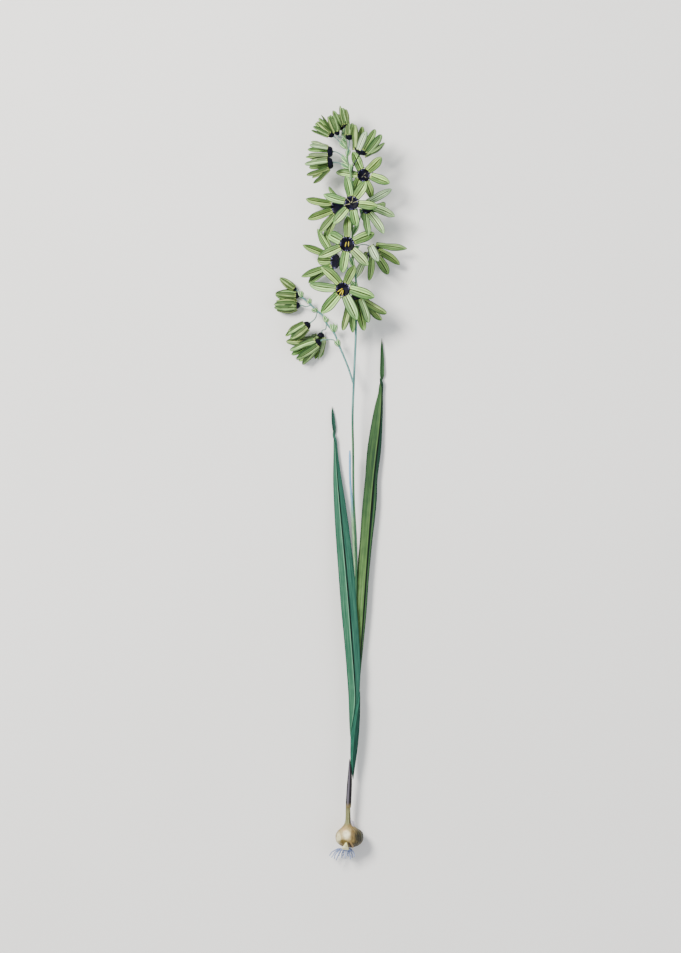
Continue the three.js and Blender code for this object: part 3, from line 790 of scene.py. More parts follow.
def stemLeafPatches():
    # Narrow blade folded round the stem, both ends drawn to a point
    midrib = smoothPath(onPage(stemLeafShape["spots"]), 90)
    t = np.linspace(0, 1, len(midrib))
    side = np.tile([1.0, 0, 0], (len(t), 1))
    face = np.cross(side, heading(midrib))
    face = face * np.sign(face[:, 2:])
    first, widening, narrowing, least = stemLeafShape["ends"]
    ends = np.clip(np.minimum(first + t * widening, (1 - t) * narrowing), least, 1)
    width = stemLeafShape["halfWidth"] * ends ** stemLeafShape["blunt"]
    thick = stemLeafShape["halfThick"] * ramp(1 - t, *stemLeafShape["thinning"])
    return [blade(midrib, side, face, (width, width), thick,
                  lambda across: -stemLeafShape["hollow"] * across**2, 14)]


stemLeafFinish = makeFinish("stem leaf", stemLeafLook)
makePiece("stem_leaf_blade", stemLeafPatches(), [stemLeafFinish], "stem_leaf")

# Rows of a leaf from its tip down: py, left edge, fold line, right edge, height. The blade turns over at
# twistAt, within twistOver pixels up the page, and rows near there give its true width.
leftLeafShape = {
    "rows": [
        (405.9, 331.9, 332, 332.1, 1.4), (413, 331.3, 332.6, 333.9, 1.6), (421, 331.4, 333.3, 335.2, 1.9),
        (435.2, 332.9, 334.8, 336.7, 2.4), (446, 333.4, 335.3, 337.4, 2.7), (457, 333.3, 335.9, 338.5, 3),
        (480, 333, 337.4, 341.9, 4), (499.2, 333.6, 339, 345, 5), (531, 335.3, 341.9, 349.5, 6.6),
        (569, 338, 345.5, 353.9, 8.3), (607.6, 340.9, 348.8, 356.8, 9.3), (640, 344, 351.3, 359.2, 9.4),
        (676, 347, 354, 360.4, 9.5), (702, 348.6, 355.2, 358.4, 9.4), (716, 349, 353.6, 355.2, 9.4),
        (730, 349.6, 351.2, 352.2, 9.3), (738, 350.2, 350.4, 350.6, 9.2),
    ],
    "twistAt": 435.2, "twistOver": 22, "ridge": 0.75, "halfThick": 0.28, "neck": 0.3,
}
leftBaseShape = {
    "rows": [
        (691, 359.9, 360, 360.1, 9.9), (697, 358.6, 359.6, 360.3, 10), (709, 355.6, 358.2, 360.3, 10.1),
        (722, 352.9, 356.3, 359.9, 10.1), (734.4, 350.7, 354.6, 359.1, 10), (748, 350.2, 353.6, 357.8, 9.9),
        (760, 350.4, 352.9, 356.2, 9.7), (768, 351.2, 352.9, 355, 9.5), (777, 352.3, 353, 353.8, 9.3),
        (780.7, 353, 353.1, 353.2, 9.2),
    ],
    "twistAt": 0, "twistOver": 1, "ridge": 0.5, "halfThick": 0.3, "neck": 0.0,
}
rightLeafShape = {
    "rows": [
        (337.6, 381.9, 382, 382.1, 1.4), (346, 380.9, 382, 383.2, 1.6), (357, 380.3, 382.2, 384.1, 1.9),
        (378.8, 379.4, 381.9, 384, 2.6), (392, 378.3, 381.6, 383.2, 2.8), (405.9, 374.8, 381.2, 383.1, 3),
        (427, 370.6, 379.7, 382.5, 3.4), (449, 367.2, 377, 381.3, 4), (480, 364.8, 373.5, 377.6, 4.8),
        (499, 362.9, 371.8, 377, 5.2), (541, 359.7, 368.5, 372.5, 5.9), (582, 356.6, 365.4, 368.7, 6.2),
        (605, 355.9, 363.7, 367.2, 6.2), (630, 356, 362, 365, 6.1), (672.6, 355.5, 359, 360.8, 6.1),
        (720, 352.3, 355, 356.5, 6.1), (765, 350.4, 351.4, 352, 6.1), (774, 350.9, 351, 351.1, 6.2),
    ],
    "twistAt": 380, "twistOver": 16, "ridge": 0.7, "halfThick": 0.28, "neck": 0.4,
}
# Height and spread of the raised midrib, how far the thicker neck reaches about the twist in pixels, and
# the least half width and thickness
leafShape = {"midrib": (0.16, 0.09), "neckLength": 7, "leastHalf": 0.05, "leastThick": 0.12, "sides": 36}
leafLooks = {
    "left leaf": {
        "left": "22523e 3b6f56", "leftLow": "22523c 417458", "right": "1c483c 356854", "line": "020c08",
        "light": "6aa482", "tip": "0f3338 345c40", "rim": "1c483c", "lineMiddle": 0.535, "lineHalf": 0.045,
        "tipTo": 0.085, "shadePatch": 0.0, "band": 0.0,
    },
    "right leaf": {
        "left": "234424 3b5c32", "leftLow": "3f6430 607e4a", "right": "0f2c22 1c3f2c", "line": "010503",
        "light": "567840", "tip": "1a3c2c 3d5c30", "rim": "0f2c22", "lineMiddle": 0.57, "lineHalf": 0.075,
        "tipTo": 0.095, "shadePatch": 0.85, "band": 0.6,
    },
    "leaf base": {
        "left": "174838 2c6a56", "leftLow": "144334 286654", "right": "0c2c24 1a463a", "line": "0c2c22",
        "light": "2f6a52", "tip": "174838 2c6a56", "rim": "0c2c24", "lineMiddle": 0.5, "lineHalf": 0.0,
        "tipTo": -0.1, "shadePatch": 0.0, "band": 0.0,
    },
}


def leafFinish(name):
    # Parallel veins, a lighter left half and a darker right half, which paint the light and shade of the
    # folded blade, with a light band and a patch of painted shade in the right leaf; a dark line beside a
    # light midrib, its painted shadow and highlight; the tip beyond the twist shows the olive back of the
    # blade
    look = leafLooks[name]
    layers = [
        (look["leftLow"], 1.0, ("v", 0.3, 0.6)),
        # Darker patch across the right leaf: painted shade
        ("1c3820 37562c", look["shadePatch"], ("v", 0.205, 0.255), ("v", 0.362, 0.338)),
        # Darker right half: painted shade of the folded blade
        (look["right"], 1.0, ("u", 0.49, 0.52)),
        (look["light"], look["band"], ("u", 0.8, 0.03, 0.05), ("v", 0.25, 0.45)),
        # Light stripe beside the midrib: painted highlight
        (look["light"], 0.75, ("u", 0.455, 0.02, 0.02)),
        # Dark line beside the midrib: painted shadow of the raised midrib
        (look["line"], 1.0, ("u", look["lineMiddle"], look["lineHalf"], 0.02)),
        (look["rim"], 0.75, ("edge", 0.82, 0.95)),
        (look["tip"], 1.0, ("v", look["tipTo"] + 0.012, look["tipTo"] - 0.012)),
        (look["rim"], 0.25, ("mottle", 160.0)),
    ]
    return makeFinish(name, {
        "ground": look["left"], "veins": (26.0, 9.0), "roughness": 0.5, "shine": 0.12, "relief": 0.4,
        "layers": layers,
    })


def leafPatch(shape, rings, finish=0):
    # Sword-shaped blade: highest on the fold line and falling to both edges, with a fine raised midrib.
    # Around the twist the blade turns over about its midrib, smoothly, by half a turn towards the tip.
    rows = smoothPath(shape["rows"], rings)
    py, left, fold, right = rows.T[:4]
    midrib = onPage(np.stack([fold, py, rows[:, 4]], -1))
    halves = np.maximum((fold - left, right - fold), leafShape["leastHalf"]) * page["mmPerPixel"]
    angle = np.pi * ease(np.clip((shape["twistAt"] - py) / shape["twistOver"] + 0.5, 0, 1))
    side = np.stack([np.cos(angle), 0 * angle, np.sin(angle)], -1)
    face = np.stack([-np.sin(angle), 0 * angle, np.cos(angle)], -1)
    ends = np.clip(halves.sum(0) / 2, leafShape["leastThick"], 1)

    def lift(across):
        # Two slopes down from the fold line, and a narrow bell curve for the midrib
        high, spread = leafShape["midrib"]
        return ((1 - np.abs(across)) * shape["ridge"] + high * bell(across, 0, spread)) * ends[:, None]

    thick = shape["halfThick"] * ends + shape["neck"] * bell(py, shape["twistAt"], leafShape["neckLength"])
    return blade(midrib, side, face, halves, thick, lift, leafShape["sides"], (finish, finish))


leftGreens = [leafFinish("left leaf"), leafFinish("leaf base")]
leftPatches = [leafPatch(leftLeafShape, 150), leafPatch(leftBaseShape, 60, 1)]
makePiece("left_leaf", leftPatches, leftGreens, "leaf_left")
makePiece("right_leaf", [leafPatch(rightLeafShape, 150)], [leafFinish("right leaf")], "leaf_right")

# Rows of the sheath from its point down: px, py, height, radius in millimetres
sheathShape = {
    "rows": [
        (349.5, 759.2, 10.9, 0.12), (349.6, 762, 10.9, 0.4), (349.75, 768, 10.7, 0.85),
        (349.8, 774, 10.4, 1.25), (349.5, 783, 10, 1.62), (348.9, 795, 9.6, 1.75), (348.4, 806.5, 9.25, 1.7),
        (348.4, 808.2, 9.2, 1.6),
    ],
    "rib": 0.05, "ribs": 9, "sides": 36, "rings": 70, "ends": (0.2, 0.1),
}
# Papery purple-brown with a grey-lilac streak, fading to cream at its foot
sheathLook = {
    "ground": "0b0a0b 28252a", "veins": (22.0, 5.0), "roughness": 0.65, "shine": 0.15,
    "relief": 0.7, "layers": [("6a6670", 0.8, ("u", 0.3, 0.02, 0.07)), ("776a44", 1.0, ("v", 0.88, 1.0))],
}


def sheathPatch():
    # Tube of the rows' radii, times 1 plus shallow cosine ribs round it
    rows = smoothPath(sheathShape["rows"], sheathShape["rings"])
    path = onPage(rows[:, :3])
    sides = sheathShape["sides"]
    ribbed = 1 + sheathShape["rib"] * np.cos(sheathShape["ribs"] * turns(sides))
    ring = circle(np.array([1.0, 0, 0]), skyward, sides) * ribbed[:, None]
    rings = path[:, None] + rows[:, 3][:, None, None] * ring
    above, below = sheathShape["ends"]
    ends = (path[0] + (0, above, 0), path[-1] - (0, below, 0))
    return wrap(rings, ends, np.arange(sides + 1) / sides)


makePiece("leaf_sheath", [sheathPatch()], [makeFinish("purple sheath", sheathLook)], "sheath")
print("stem, leaves and sheath done")

# Half width of a scale, how far out of the stem the pair starts, and for a pair about one tip how far each
# scale stands aside and along from it
bractShape = {
    "main": {"halfWidth": 1.4, "start": 0.4, "aside": 0.8, "along": (0.3, -0.5)},
    "side": {"halfWidth": 1.5, "start": 0.3},
}
# Papery scale: pale green with darker veins and a dark hairline at its edge, whitish towards the tip
bractLook = {
    "ground": "558750 98cc88", "veins": (9.0, 1.6), "varied": True, "roughness": 0.55,
    "shine": 0.2, "relief": 0.4,
    "layers": [
        ("ccf4ae", 1.0, ("edge", 0.25, 0.55)), ("143820", 0.95, ("edge", 0.66, 0.82)),
        ("c6e6c6", 0.4, ("v", 0.8, 1.0)), ("3f6e38", 0.7, ("v", 0.3, 0.0)),
        ("2c5a2c", 0.75, ("u", 0.5, 0.045, 0.04)),
    ],
}
bractScale = makeFinish("bract scale", bractLook)


def makeBracts(path, bracts, shape, draw):
    # Scales stand on the node of the stem at their height and open away from the floor
    for letter, (py, tips) in bracts.items():
        foot = onStem(path, py)
        tips = np.atleast_2d(onPage(tips))
        run = unit(tips.mean(0) - foot)
        outwards = unit(skyward - run * run[2])
        if len(tips) == 1:
            aside = np.cross(run, outwards) * shape["aside"]
            first, second = shape["along"]
            tips = tips + (aside + run * first, run * second - aside)
        tones = draw.uniform(size=len(tips))
        patches = scales(foot + run * shape["start"], tips, shape["halfWidth"], outwards, tones)
        makePiece("bract_pair_" + letter, patches, [bractScale], "bract_" + letter)


bractDraw = np.random.default_rng(seeds["bracts"])
makeBracts(mainPath, mainBracts, bractShape["main"], bractDraw)
makeBracts(sidePath, sideBracts, bractShape["side"], bractDraw)
print("bracts done")

# Flowers: where the six tepals meet, the way the flower faces, the radius of its dark cup, the half
# width of a tepal in millimetres, and the six tips. A bell has a deep cup and tepals that stay close to
# its axis; an open flower has a shallow cup that shows as its eye. Shades are the tepals' extra marks:
# above 0 a blade is olive, its darker colour and painted shade, and below 0 paler, whitish and painted
# light. Spans multiply their widths, and feet and bends place the foot or move the bend of the tepals
# they number.
flowers = {
    "a": {
        "heart": (330.9, 134.6, 20), "facing": (-0.8, 0.6, 0), "rim": 2.4, "width": 1.7, "bell": True,
        "tips": [(311.2, 130.6, 20), (313, 127, 25), (315, 123.2, 15), (316.7, 122.4, 25.5),
                 (318.6, 118, 15), (321.2, 114.9, 20)],
        "shades": (0.3, 0.1, 0.2, 0.05, 0.25, 0.2),
    },
    "b": {
        "heart": (337, 133, 24.5), "facing": (-0.4, 0.92, 0), "rim": 1.9, "width": 1.6, "bell": True,
        "tips": [(327.6, 117.2, 24.5), (330.2, 115.8, 28.5), (332.8, 116.4, 28.5), (328.6, 116.4, 20.5),
                 (331.5, 116.8, 20), (335, 118, 24.5)],
        "shades": (0.3, 0.15, 0.2, 0.3, 0.3, 0.35),
    },
    "c": {
        "heart": (346.1, 125.4, 21.5), "facing": (-0.22, 0.97, 0.05), "rim": 2.0, "width": 1.8, "bell": True,
        "tips": [(340, 106, 22.4), (345.5, 109.8, 25.5), (342, 108.5, 25.5), (342.9, 108, 19),
                 (346.5, 111.5, 18), (348, 113, 21.5)],
        "shades": (0.3, 0.5, 0.25, 0.5, 0.5, 0.45),
    },
    "d": {
        "heart": (349.5, 137, 24), "facing": (0.02, 1, 0), "rim": 2.8, "width": 1.7, "bell": True,
        "tips": [(346.6, 125.9, 24), (348.8, 124.1, 26.8), (352.2, 123.8, 26.8), (354.4, 125.4, 24),
                 (349.8, 124.5, 22), (352, 124.8, 22)],
        "shades": (0.4, 0.35, 0.25, 0.5, 0.5, 0.5),
    },
    "e": {
        "heart": (360.5, 152.9, 29), "facing": (0.42, 0.88, 0.2), "rim": 4.6, "width": 2.5, "bell": True,
        "tips": [(354.9, 125.3, 29), (362.4, 127, 23), (366.1, 132.7, 37), (375.3, 129.9, 25),
                 (381.4, 135.8, 34), (384.8, 143.6, 28)],
        "tubeFinish": 2, "tilt": 1.4, "levels": (1.3, -1.7, -0.4),
        "shades": (0.2, 0.5, -0.85, 0.4, 0.0, 0.2), "spans": (1.15, 0.85, 1.1, 1, 1.1, 1.15),
        "feet": {0: (354.8, 150.8, 28), 5: (364.6, 156.6, 29)},
        "tubeBy": [(351.9, 173, 23.2), (353, 167.3, 25.4), (355.8, 161.6, 27)],
        "bends": {0: (-1, 0), 4: (-0.8, 0.6), 5: (1, 4.5)},
    },
    "f": {
        "heart": (329.5, 151.8, 17), "facing": (-1, 0, 0), "rim": 3.75, "width": 1.8, "bell": True,
        "levels": (1.2, -2.2, -0.7), "cupPower": 0.45,
        "tips": [(310.9, 141.7, 17), (309.5, 145.5, 22), (307.5, 149.2, 12.5), (308.1, 155, 20),
                 (305.6, 157, 13), (309.5, 158.8, 16)],
        "shades": (-0.4, -0.5, 0.2, -0.45, 0.25, 0.3),
    },
    "g": {
        "heart": (363.4, 175.9, 23), "facing": (0.25, 0.1, 0.96), "rim": 4.3, "width": 2.9, "bell": False,
        "tips": [(352.8, 152, 23), (335.8, 171.5, 7.5), (353.7, 191.9, 17), (372.2, 198.4, 19),
                 (389.7, 183.7, 25), (381.2, 157.5, 27)],
        "anthers": [(363.8, 175.4, 365.6, 173.6), (363.4, 176.4, 361.6, 178), (364.4, 176.8, 366, 178.4)],
        "pollen": "dull pollen", "shades": (0.2, -0.1, 0.3, 0.4, 0.0, 0.0),
        "spans": (1.12, 1, 1.1, 1.05, 1.1, 1.1),
        "feet": {1: (357.6, 175.6, 21), 2: (359, 178.8, 21), 4: (370.6, 176.2, 23.6)},
        "bends": {0: (-1.2, 0), 3: (-1, 0), 4: (0, 1.2), 5: (1, 0.6)},
    },
    "h": {
        "heart": (351.5, 204, 32), "facing": (0, 0, 1), "rim": 4.7, "width": 3.0, "bell": False,
        "rays": 1.0,
        "tips": [(346, 176.5, 33), (365.8, 182.3, 33), (377.8, 207.4, 33), (356.1, 227.2, 30),
                 (333.2, 224.6, 31), (323.3, 195.3, 32)],
        "anthers": [(351.1, 203.9, 352, 202), (350, 205, 347.6, 205.5), (350.6, 203.6, 349.2, 202.7)],
        "pollen": "cream pollen", "slim": 0.5,
        "shades": (0.1, 0.0, 0.0, 0.0, -0.1, -0.1), "spans": (0.92, 1.12, 1, 1, 1, 1),
        "bends": {0: (0.4, 0), 1: (1.2, 0.6), 5: (0, 1.6)}, "feet": {0: (350.3, 197.6, 31.9)},
    },
    "i": {
        "heart": (338.2, 207.6, 13), "facing": (-0.6, -0.2, 0.78), "rim": 5.3, "width": 2.7, "bell": False,
        "tips": [(305.7, 198.8, 12), (307.5, 219.2, 14), (318.7, 232.9, 10), (327.7, 236.8, 10),
                 (328.6, 186, 8), (318, 203.6, 1.5)],
        "shades": (0.3, 0.35, 0.5, 0.6, 0.4, 0.6), "spans": (1, 1, 1, 1, 0.7, 0.6),
        "feet": {0: (331.6, 203.2, 13.6), 4: (338.8, 198.6, 11)}, "bends": {2: (1.2, 0)},
    },
    "j": {
        "heart": (367.4, 208.4, 22), "facing": (0.5, -0.45, 0.74), "rim": 4.0, "width": 2.7, "bell": False,
        "tips": [(391.8, 189.3, 20), (395, 217, 24), (385.8, 204.6, 9), (383.7, 234.4, 24),
                 (368.2, 236.4, 27), (363.2, 221, 17)],
        "shades": (-0.6, -0.4, 0.3, -0.4, -0.1, -0.1), "spans": (1.1, 1.25, 1.3, 1.1, 1.2, 0.75),
        "feet": {0: (367.2, 202.4, 21), 1: (372.6, 207, 22), 5: (360.6, 208.8, 17)},
        "bends": {0: (-0.6, -2.2), 1: (1, -2), 3: (0.6, -1.2), 4: (-1.6, 0)},
    },
    "k": {
        "heart": (347, 244.9, 30), "facing": (0, 0, 1), "rim": 4.9, "width": 3.05, "bell": False,
        "tips": [(347.7, 216.5, 25), (374.5, 233.7, 22), (368, 266.4, 30), (342.4, 273.4, 31),
                 (318.2, 257.7, 31), (329.2, 234.8, 24)],
        "anthers": [(345.1, 247.4, 346.3, 242.8), (348.5, 247.2, 348.6, 242.4), (345.3, 246.6, 346, 243.6)],
        "shades": (0.3, 0.2, -0.3, 0.0, -0.1, 0.1), "spans": (0.9, 1.2, 1.05, 1, 1, 1.2),
        "blunt": {3: 0.55, 5: 0.3}, "bends": {1: (-1, -0.8), 2: (1, 0)},
    },
    "l": {
        "heart": (335.4, 261, 13), "facing": (-0.8, 0, 0.55), "rim": 5.2, "width": 2.6, "bell": False,
        "tips": [(302.4, 244.7, 13), (317.1, 227.8, 2.5), (325, 228.8, 3.5), (317.1, 259.2, 1.6),
                 (301.1, 276.8, 12), (308.2, 282.7, 5)],
        "shades": (0.3, 0.1, 0.3, 0.5, 0.4, 0.5), "spans": (1, 1.15, 1.1, 1.2, 1, 1.2),
        "bends": {1: (1.8, 0)},
    },
    "m": {
        "heart": (373.8, 251.4, 14), "facing": (0.45, -0.75, 0.5), "rim": 4.9, "width": 2.7, "bell": False,
        "tips": [(407.3, 248.6, 12), (399.8, 264.6, 8), (388.3, 274, 1.6), (378.5, 261.8, 26),
                 (369.4, 280.2, 2.5), (355.4, 278.6, 1.6)],
        "anthers": [(378.4, 254.4, 381.2, 254), (378.4, 256, 381.6, 257.2), (378.2, 257.4, 380.6, 260.6)],
        "pollen": "cream pollen",
        "shades": (-0.1, 0.45, 0.4, -0.7, 0.3, -0.5), "spans": (1.25, 1.15, 1.1, 1.15, 1, 1.2),
        "feet": {0: (375.8, 244.6, 17), 1: (378, 250, 14), 3: (370.4, 245.8, 21), 5: (367.4, 251.8, 11)},
        "bends": {0: (0, -3), 1: (2, -3.2), 2: (1, -0.6), 3: (-0.8, 0), 4: (-1.2, 0), 5: (-4, 0)},
    },
    "n": {
        "heart": (342.7, 290, 31), "facing": (0, 0, 1), "rim": 4.6, "width": 3.2, "bell": False,
        "tips": [(320.8, 267.4, 31), (309.3, 285, 30), (321.2, 313.9, 31), (357, 320.6, 31),
                 (374.7, 297.8, 30), (354.9, 266, 29)],
        "anthers": [(342.6, 289, 337.4, 292.6), (342.6, 290.4, 339.4, 295.2), (343.2, 291, 342, 296.2)],
        "shades": (0.1, -0.15, 0.0, -0.2, 0.0, 0.5), "spans": (1, 1.05, 1.2, 1.1, 1.2, 1),
        "feet": {0: (339.8, 284.4, 30.8), 4: (349, 289.4, 30.8)}, "bends": {0: (1.5, -2), 1: (0, 1.2)},
    },
    "o": {
        "heart": (355.5, 298, 24), "facing": (0.2, -0.98, 0), "rim": 3.8, "width": 2.4, "bell": True,
        "tips": [(386.8, 313.8, 24), (382.2, 320.2, 20), (368.4, 323.2, 27), (364.2, 331, 20.5),
                 (352.6, 333, 21.5), (342.8, 330.9, 24)],
        "shades": (0.3, 0.2, -0.2, 0.2, 0.3, 0.3), "tilt": 1.7, "spans": (1.1, 1.5, 1.15, 1.3, 1.1, 1.3),
        "bends": {3: (-1.6, 0), 4: (2, 0)},
    },
    "v": {
        "heart": (341.7, 127.6, 16), "facing": (-0.4, 0.92, 0), "rim": 1.9, "width": 1.5, "bell": True,
        "tips": [(332.9, 110.2, 16), (334, 111, 19.5), (336, 113.2, 12.5), (337.4, 114, 19),
                 (338.2, 115.4, 12.5), (339, 117, 15)],
        "shades": (0.3, 0.2, 0.5, 0.35, 0.5, 0.4),
    },
    "w": {
        "heart": (329.5, 163.6, 21), "facing": (-0.98, -0.18, 0), "rim": 4.0, "width": 2.0, "bell": True,
        "levels": (1.2, -2.3, -0.7), "cupPower": 0.45,
        "tips": [(310.6, 161.2, 23.5), (304.5, 164.8, 25), (306.4, 175.7, 24.5), (313.2, 183.8, 21),
                 (309, 167.6, 15.5), (312, 178, 16)],
        "shades": (-0.3, -0.2, 0.0, 0.0, 0.5, 0.5), "spans": (1, 1.1, 1, 1.1, 1, 1), "bends": {3: (1.6, 2)},
    },
    "r": {
        "heart": (297, 305, 5.2), "facing": (-1, 0, 0), "rim": 2.4, "width": 2.4, "bell": True,
        "bendAt": 0.15, "belly": 0.26, "levels": (0.9, -1.9, -0.4),
        "tubeBy": [(311.2, 304.6, 6.8), (306, 306.2, 6)],
        "tips": [(275.2, 300.6, 5.2), (273.6, 304.2, 8.4), (273.8, 307.4, 8.4), (276.4, 310, 5.2),
                 (274.4, 303, 2), (275.4, 308.2, 2)],
        "shades": (0.3, 0.25, 0.3, 0.45, 0.5, 0.5),
    },
    "s": {
        "heart": (306.9, 325.2, 12.5), "facing": (-0.8, -0.6, 0), "rim": 2.9, "width": 2.2, "bell": True,
        "bendAt": 0.3, "belly": 0.16, "tubeBy": [(317.3, 311.6, 7.6), (315, 318.4, 10)],
        "tips": [(287.8, 331.2, 12.5), (287.8, 334, 16), (285.2, 336, 10), (291.6, 338.9, 16),
                 (290, 338.4, 9.6), (295.4, 341.2, 12)],
        "shades": (0.25, 0.1, 0.3, 0.05, 0.3, 0.3), "bends": {0: (0, -0.4)},
    },
    "t": {
        "heart": (317.6, 342.4, 9.5), "facing": (-0.86, -0.5, 0), "rim": 2.7, "width": 2.9, "bell": True,
        "bendAt": 0.3, "belly": 0.14, "tilt": 1.6, "spans": (1.25, 1.1, 1, 1.1, 1, 1),
        "tubeBy": [(339.6, 346.6, 10.6), (333.4, 339.9, 12), (326, 339.6, 11)],
        "tips": [(285.8, 341.3, 8), (289.6, 350.4, 12.5), (291.2, 354.6, 5), (296, 359.4, 12.5),
                 (298.6, 361, 5), (302.4, 364.6, 9)],
        "shades": (0.35, 0.1, 0.2, 0.0, 0.2, 0.3), "bends": {5: (-1.6, -1)},
    },
    "u": {
        "heart": (320.8, 335.3, 4), "facing": (-0.25, -0.97, 0), "rim": 2.4, "width": 2.1, "bell": True,
        "bendAt": 0.3, "belly": 0.16, "tilt": 1.5, "tubeBy": [(326.4, 323.6, 7.4), (325.4, 329, 5.8)],
        "tips": [(310.7, 337.2, 3.6), (312.2, 357.8, 3), (318, 359.4, 4.6), (320.4, 357.4, 2.2),
                 (315.2, 358.6, 1.7), (323, 355.2, 3)],
        "shades": (-0.2, -0.2, -0.4, -0.2, 0.1, -0.3), "spans": (1.3, 1, 1, 1, 1, 1),
        "bends": {5: (-1.5, 0)},
    },
}
buds = {
    "p": {"heart": (294.3, 288.1, 4.2), "tip": (279.4, 277.4, 4), "rim": 1.35, "width": 1.35, "girth": 2.15,
          "tubeBy": [(302, 296.4, 6.5), (298.6, 292, 5.6)], "shades": (0.1, -0.2, 0.2, 0.3, 0.3, 0.2)},
    "q": {"heart": (296.4, 295, 3.3), "tip": (275, 293.4, 3.2), "rim": 2.05, "width": 1.9, "girth": 2.9,
          "tubeBy": [(303.4, 298, 6.3), (300.4, 296.6, 4.6)], "shades": (0.3, 0.15, 0.3, 0.4, 0.4, 0.3)},
}
# Levels are those of the cup's rim, back and throat, measured from the heart along the facing. Twisting,
# opening and thinning are ramps along the blade, and soft rounds the bottom of its channel.
flowerShape = {
    "rings": 30, "sides": 18, "halfThick": 0.16, "bow": 0.09, "belly": 0.12, "bendAt": 0.5, "tilt": 0.9,
    "openLevels": (0.5, -1.7, -0.9), "bellRise": 0.36, "bellBack": (1.3, 0.4), "bellThroat": 0.2,
    "footShare": 0.92, "footSink": 0.65, "bellSink": 0.5, "twist": 0.25, "spread": (0.95, 1.05),
    "openWidth": (0.27, 1.65, 0.7), "bellWidth": (0.27, 1.7, 0.47),
    "channel": 0.26, "ripple": 0.07, "waves": 1.6, "tube": 0.36, "flare": 1.3, "tubeEnd": (-1.2, 0.4),
    "lip": 0.04, "inner": 0.96, "upright": 0.75, "low": -0.3, "soft": 0.1,
    "twisting": 1.4, "opening": (3.5, 0.12), "thinning": (6, 0.15), "tubeStart": 0.3,
    "cupSides": 60, "cupPower": 0.8, "wallPower": 1.5, "cupMarks": (0.3, 0.5),
}
# Every other tip of a bud stands back by the stagger, and the tips lie on a ring of the gather's radius
budShape = {"bendAt": 0.42, "gather": 0.6, "stagger": 0.4}
antherShape = {
    "radius": 0.3, "filament": 0.16, "foot": 1.4, "top": 2.6, "bow": 0.3, "spindle": (0.06, 0.88),
}
pollenLooks = {
    "yellow pollen": ("dccb2a", "9a8416"), "cream pollen": ("d6d2a4", "9c9660"),
    "dull pollen": ("6a6a54", "3c3d4a"),
}


def pollenGrain(tree, at):
    # Patches a fraction of a millimetre wide, which stand up too
    patchy = use(tree, "mottle", scale=2600.0)
    return {"grain": patchy["mask"], "height": patchy["height"]}


def pollenFinish(name):
    # Grainy pollen: patches of a darker colour
    ground, patch = pollenLooks[name]
    layers = [(patch, 0.6, "grain")]
    look = {"reads": (), "ground": ground, "layers": layers, "roughness": 0.8, "relief": 0.8}
    return makeFinish(name, look, pollenGrain)


def cupLevels(plan):
    # In a bell the rim stands a share of its radius above the heart, its back lies deeper the wider it is,
    # and so does its throat
    if "levels" in plan or not plan["bell"]:
        return plan.get("levels", flowerShape["openLevels"])
    deep, wider = flowerShape["bellBack"]
    rim = plan["rim"]
    return flowerShape["bellRise"] * rim, -deep - wider * rim, -flowerShape["bellThroat"] * rim


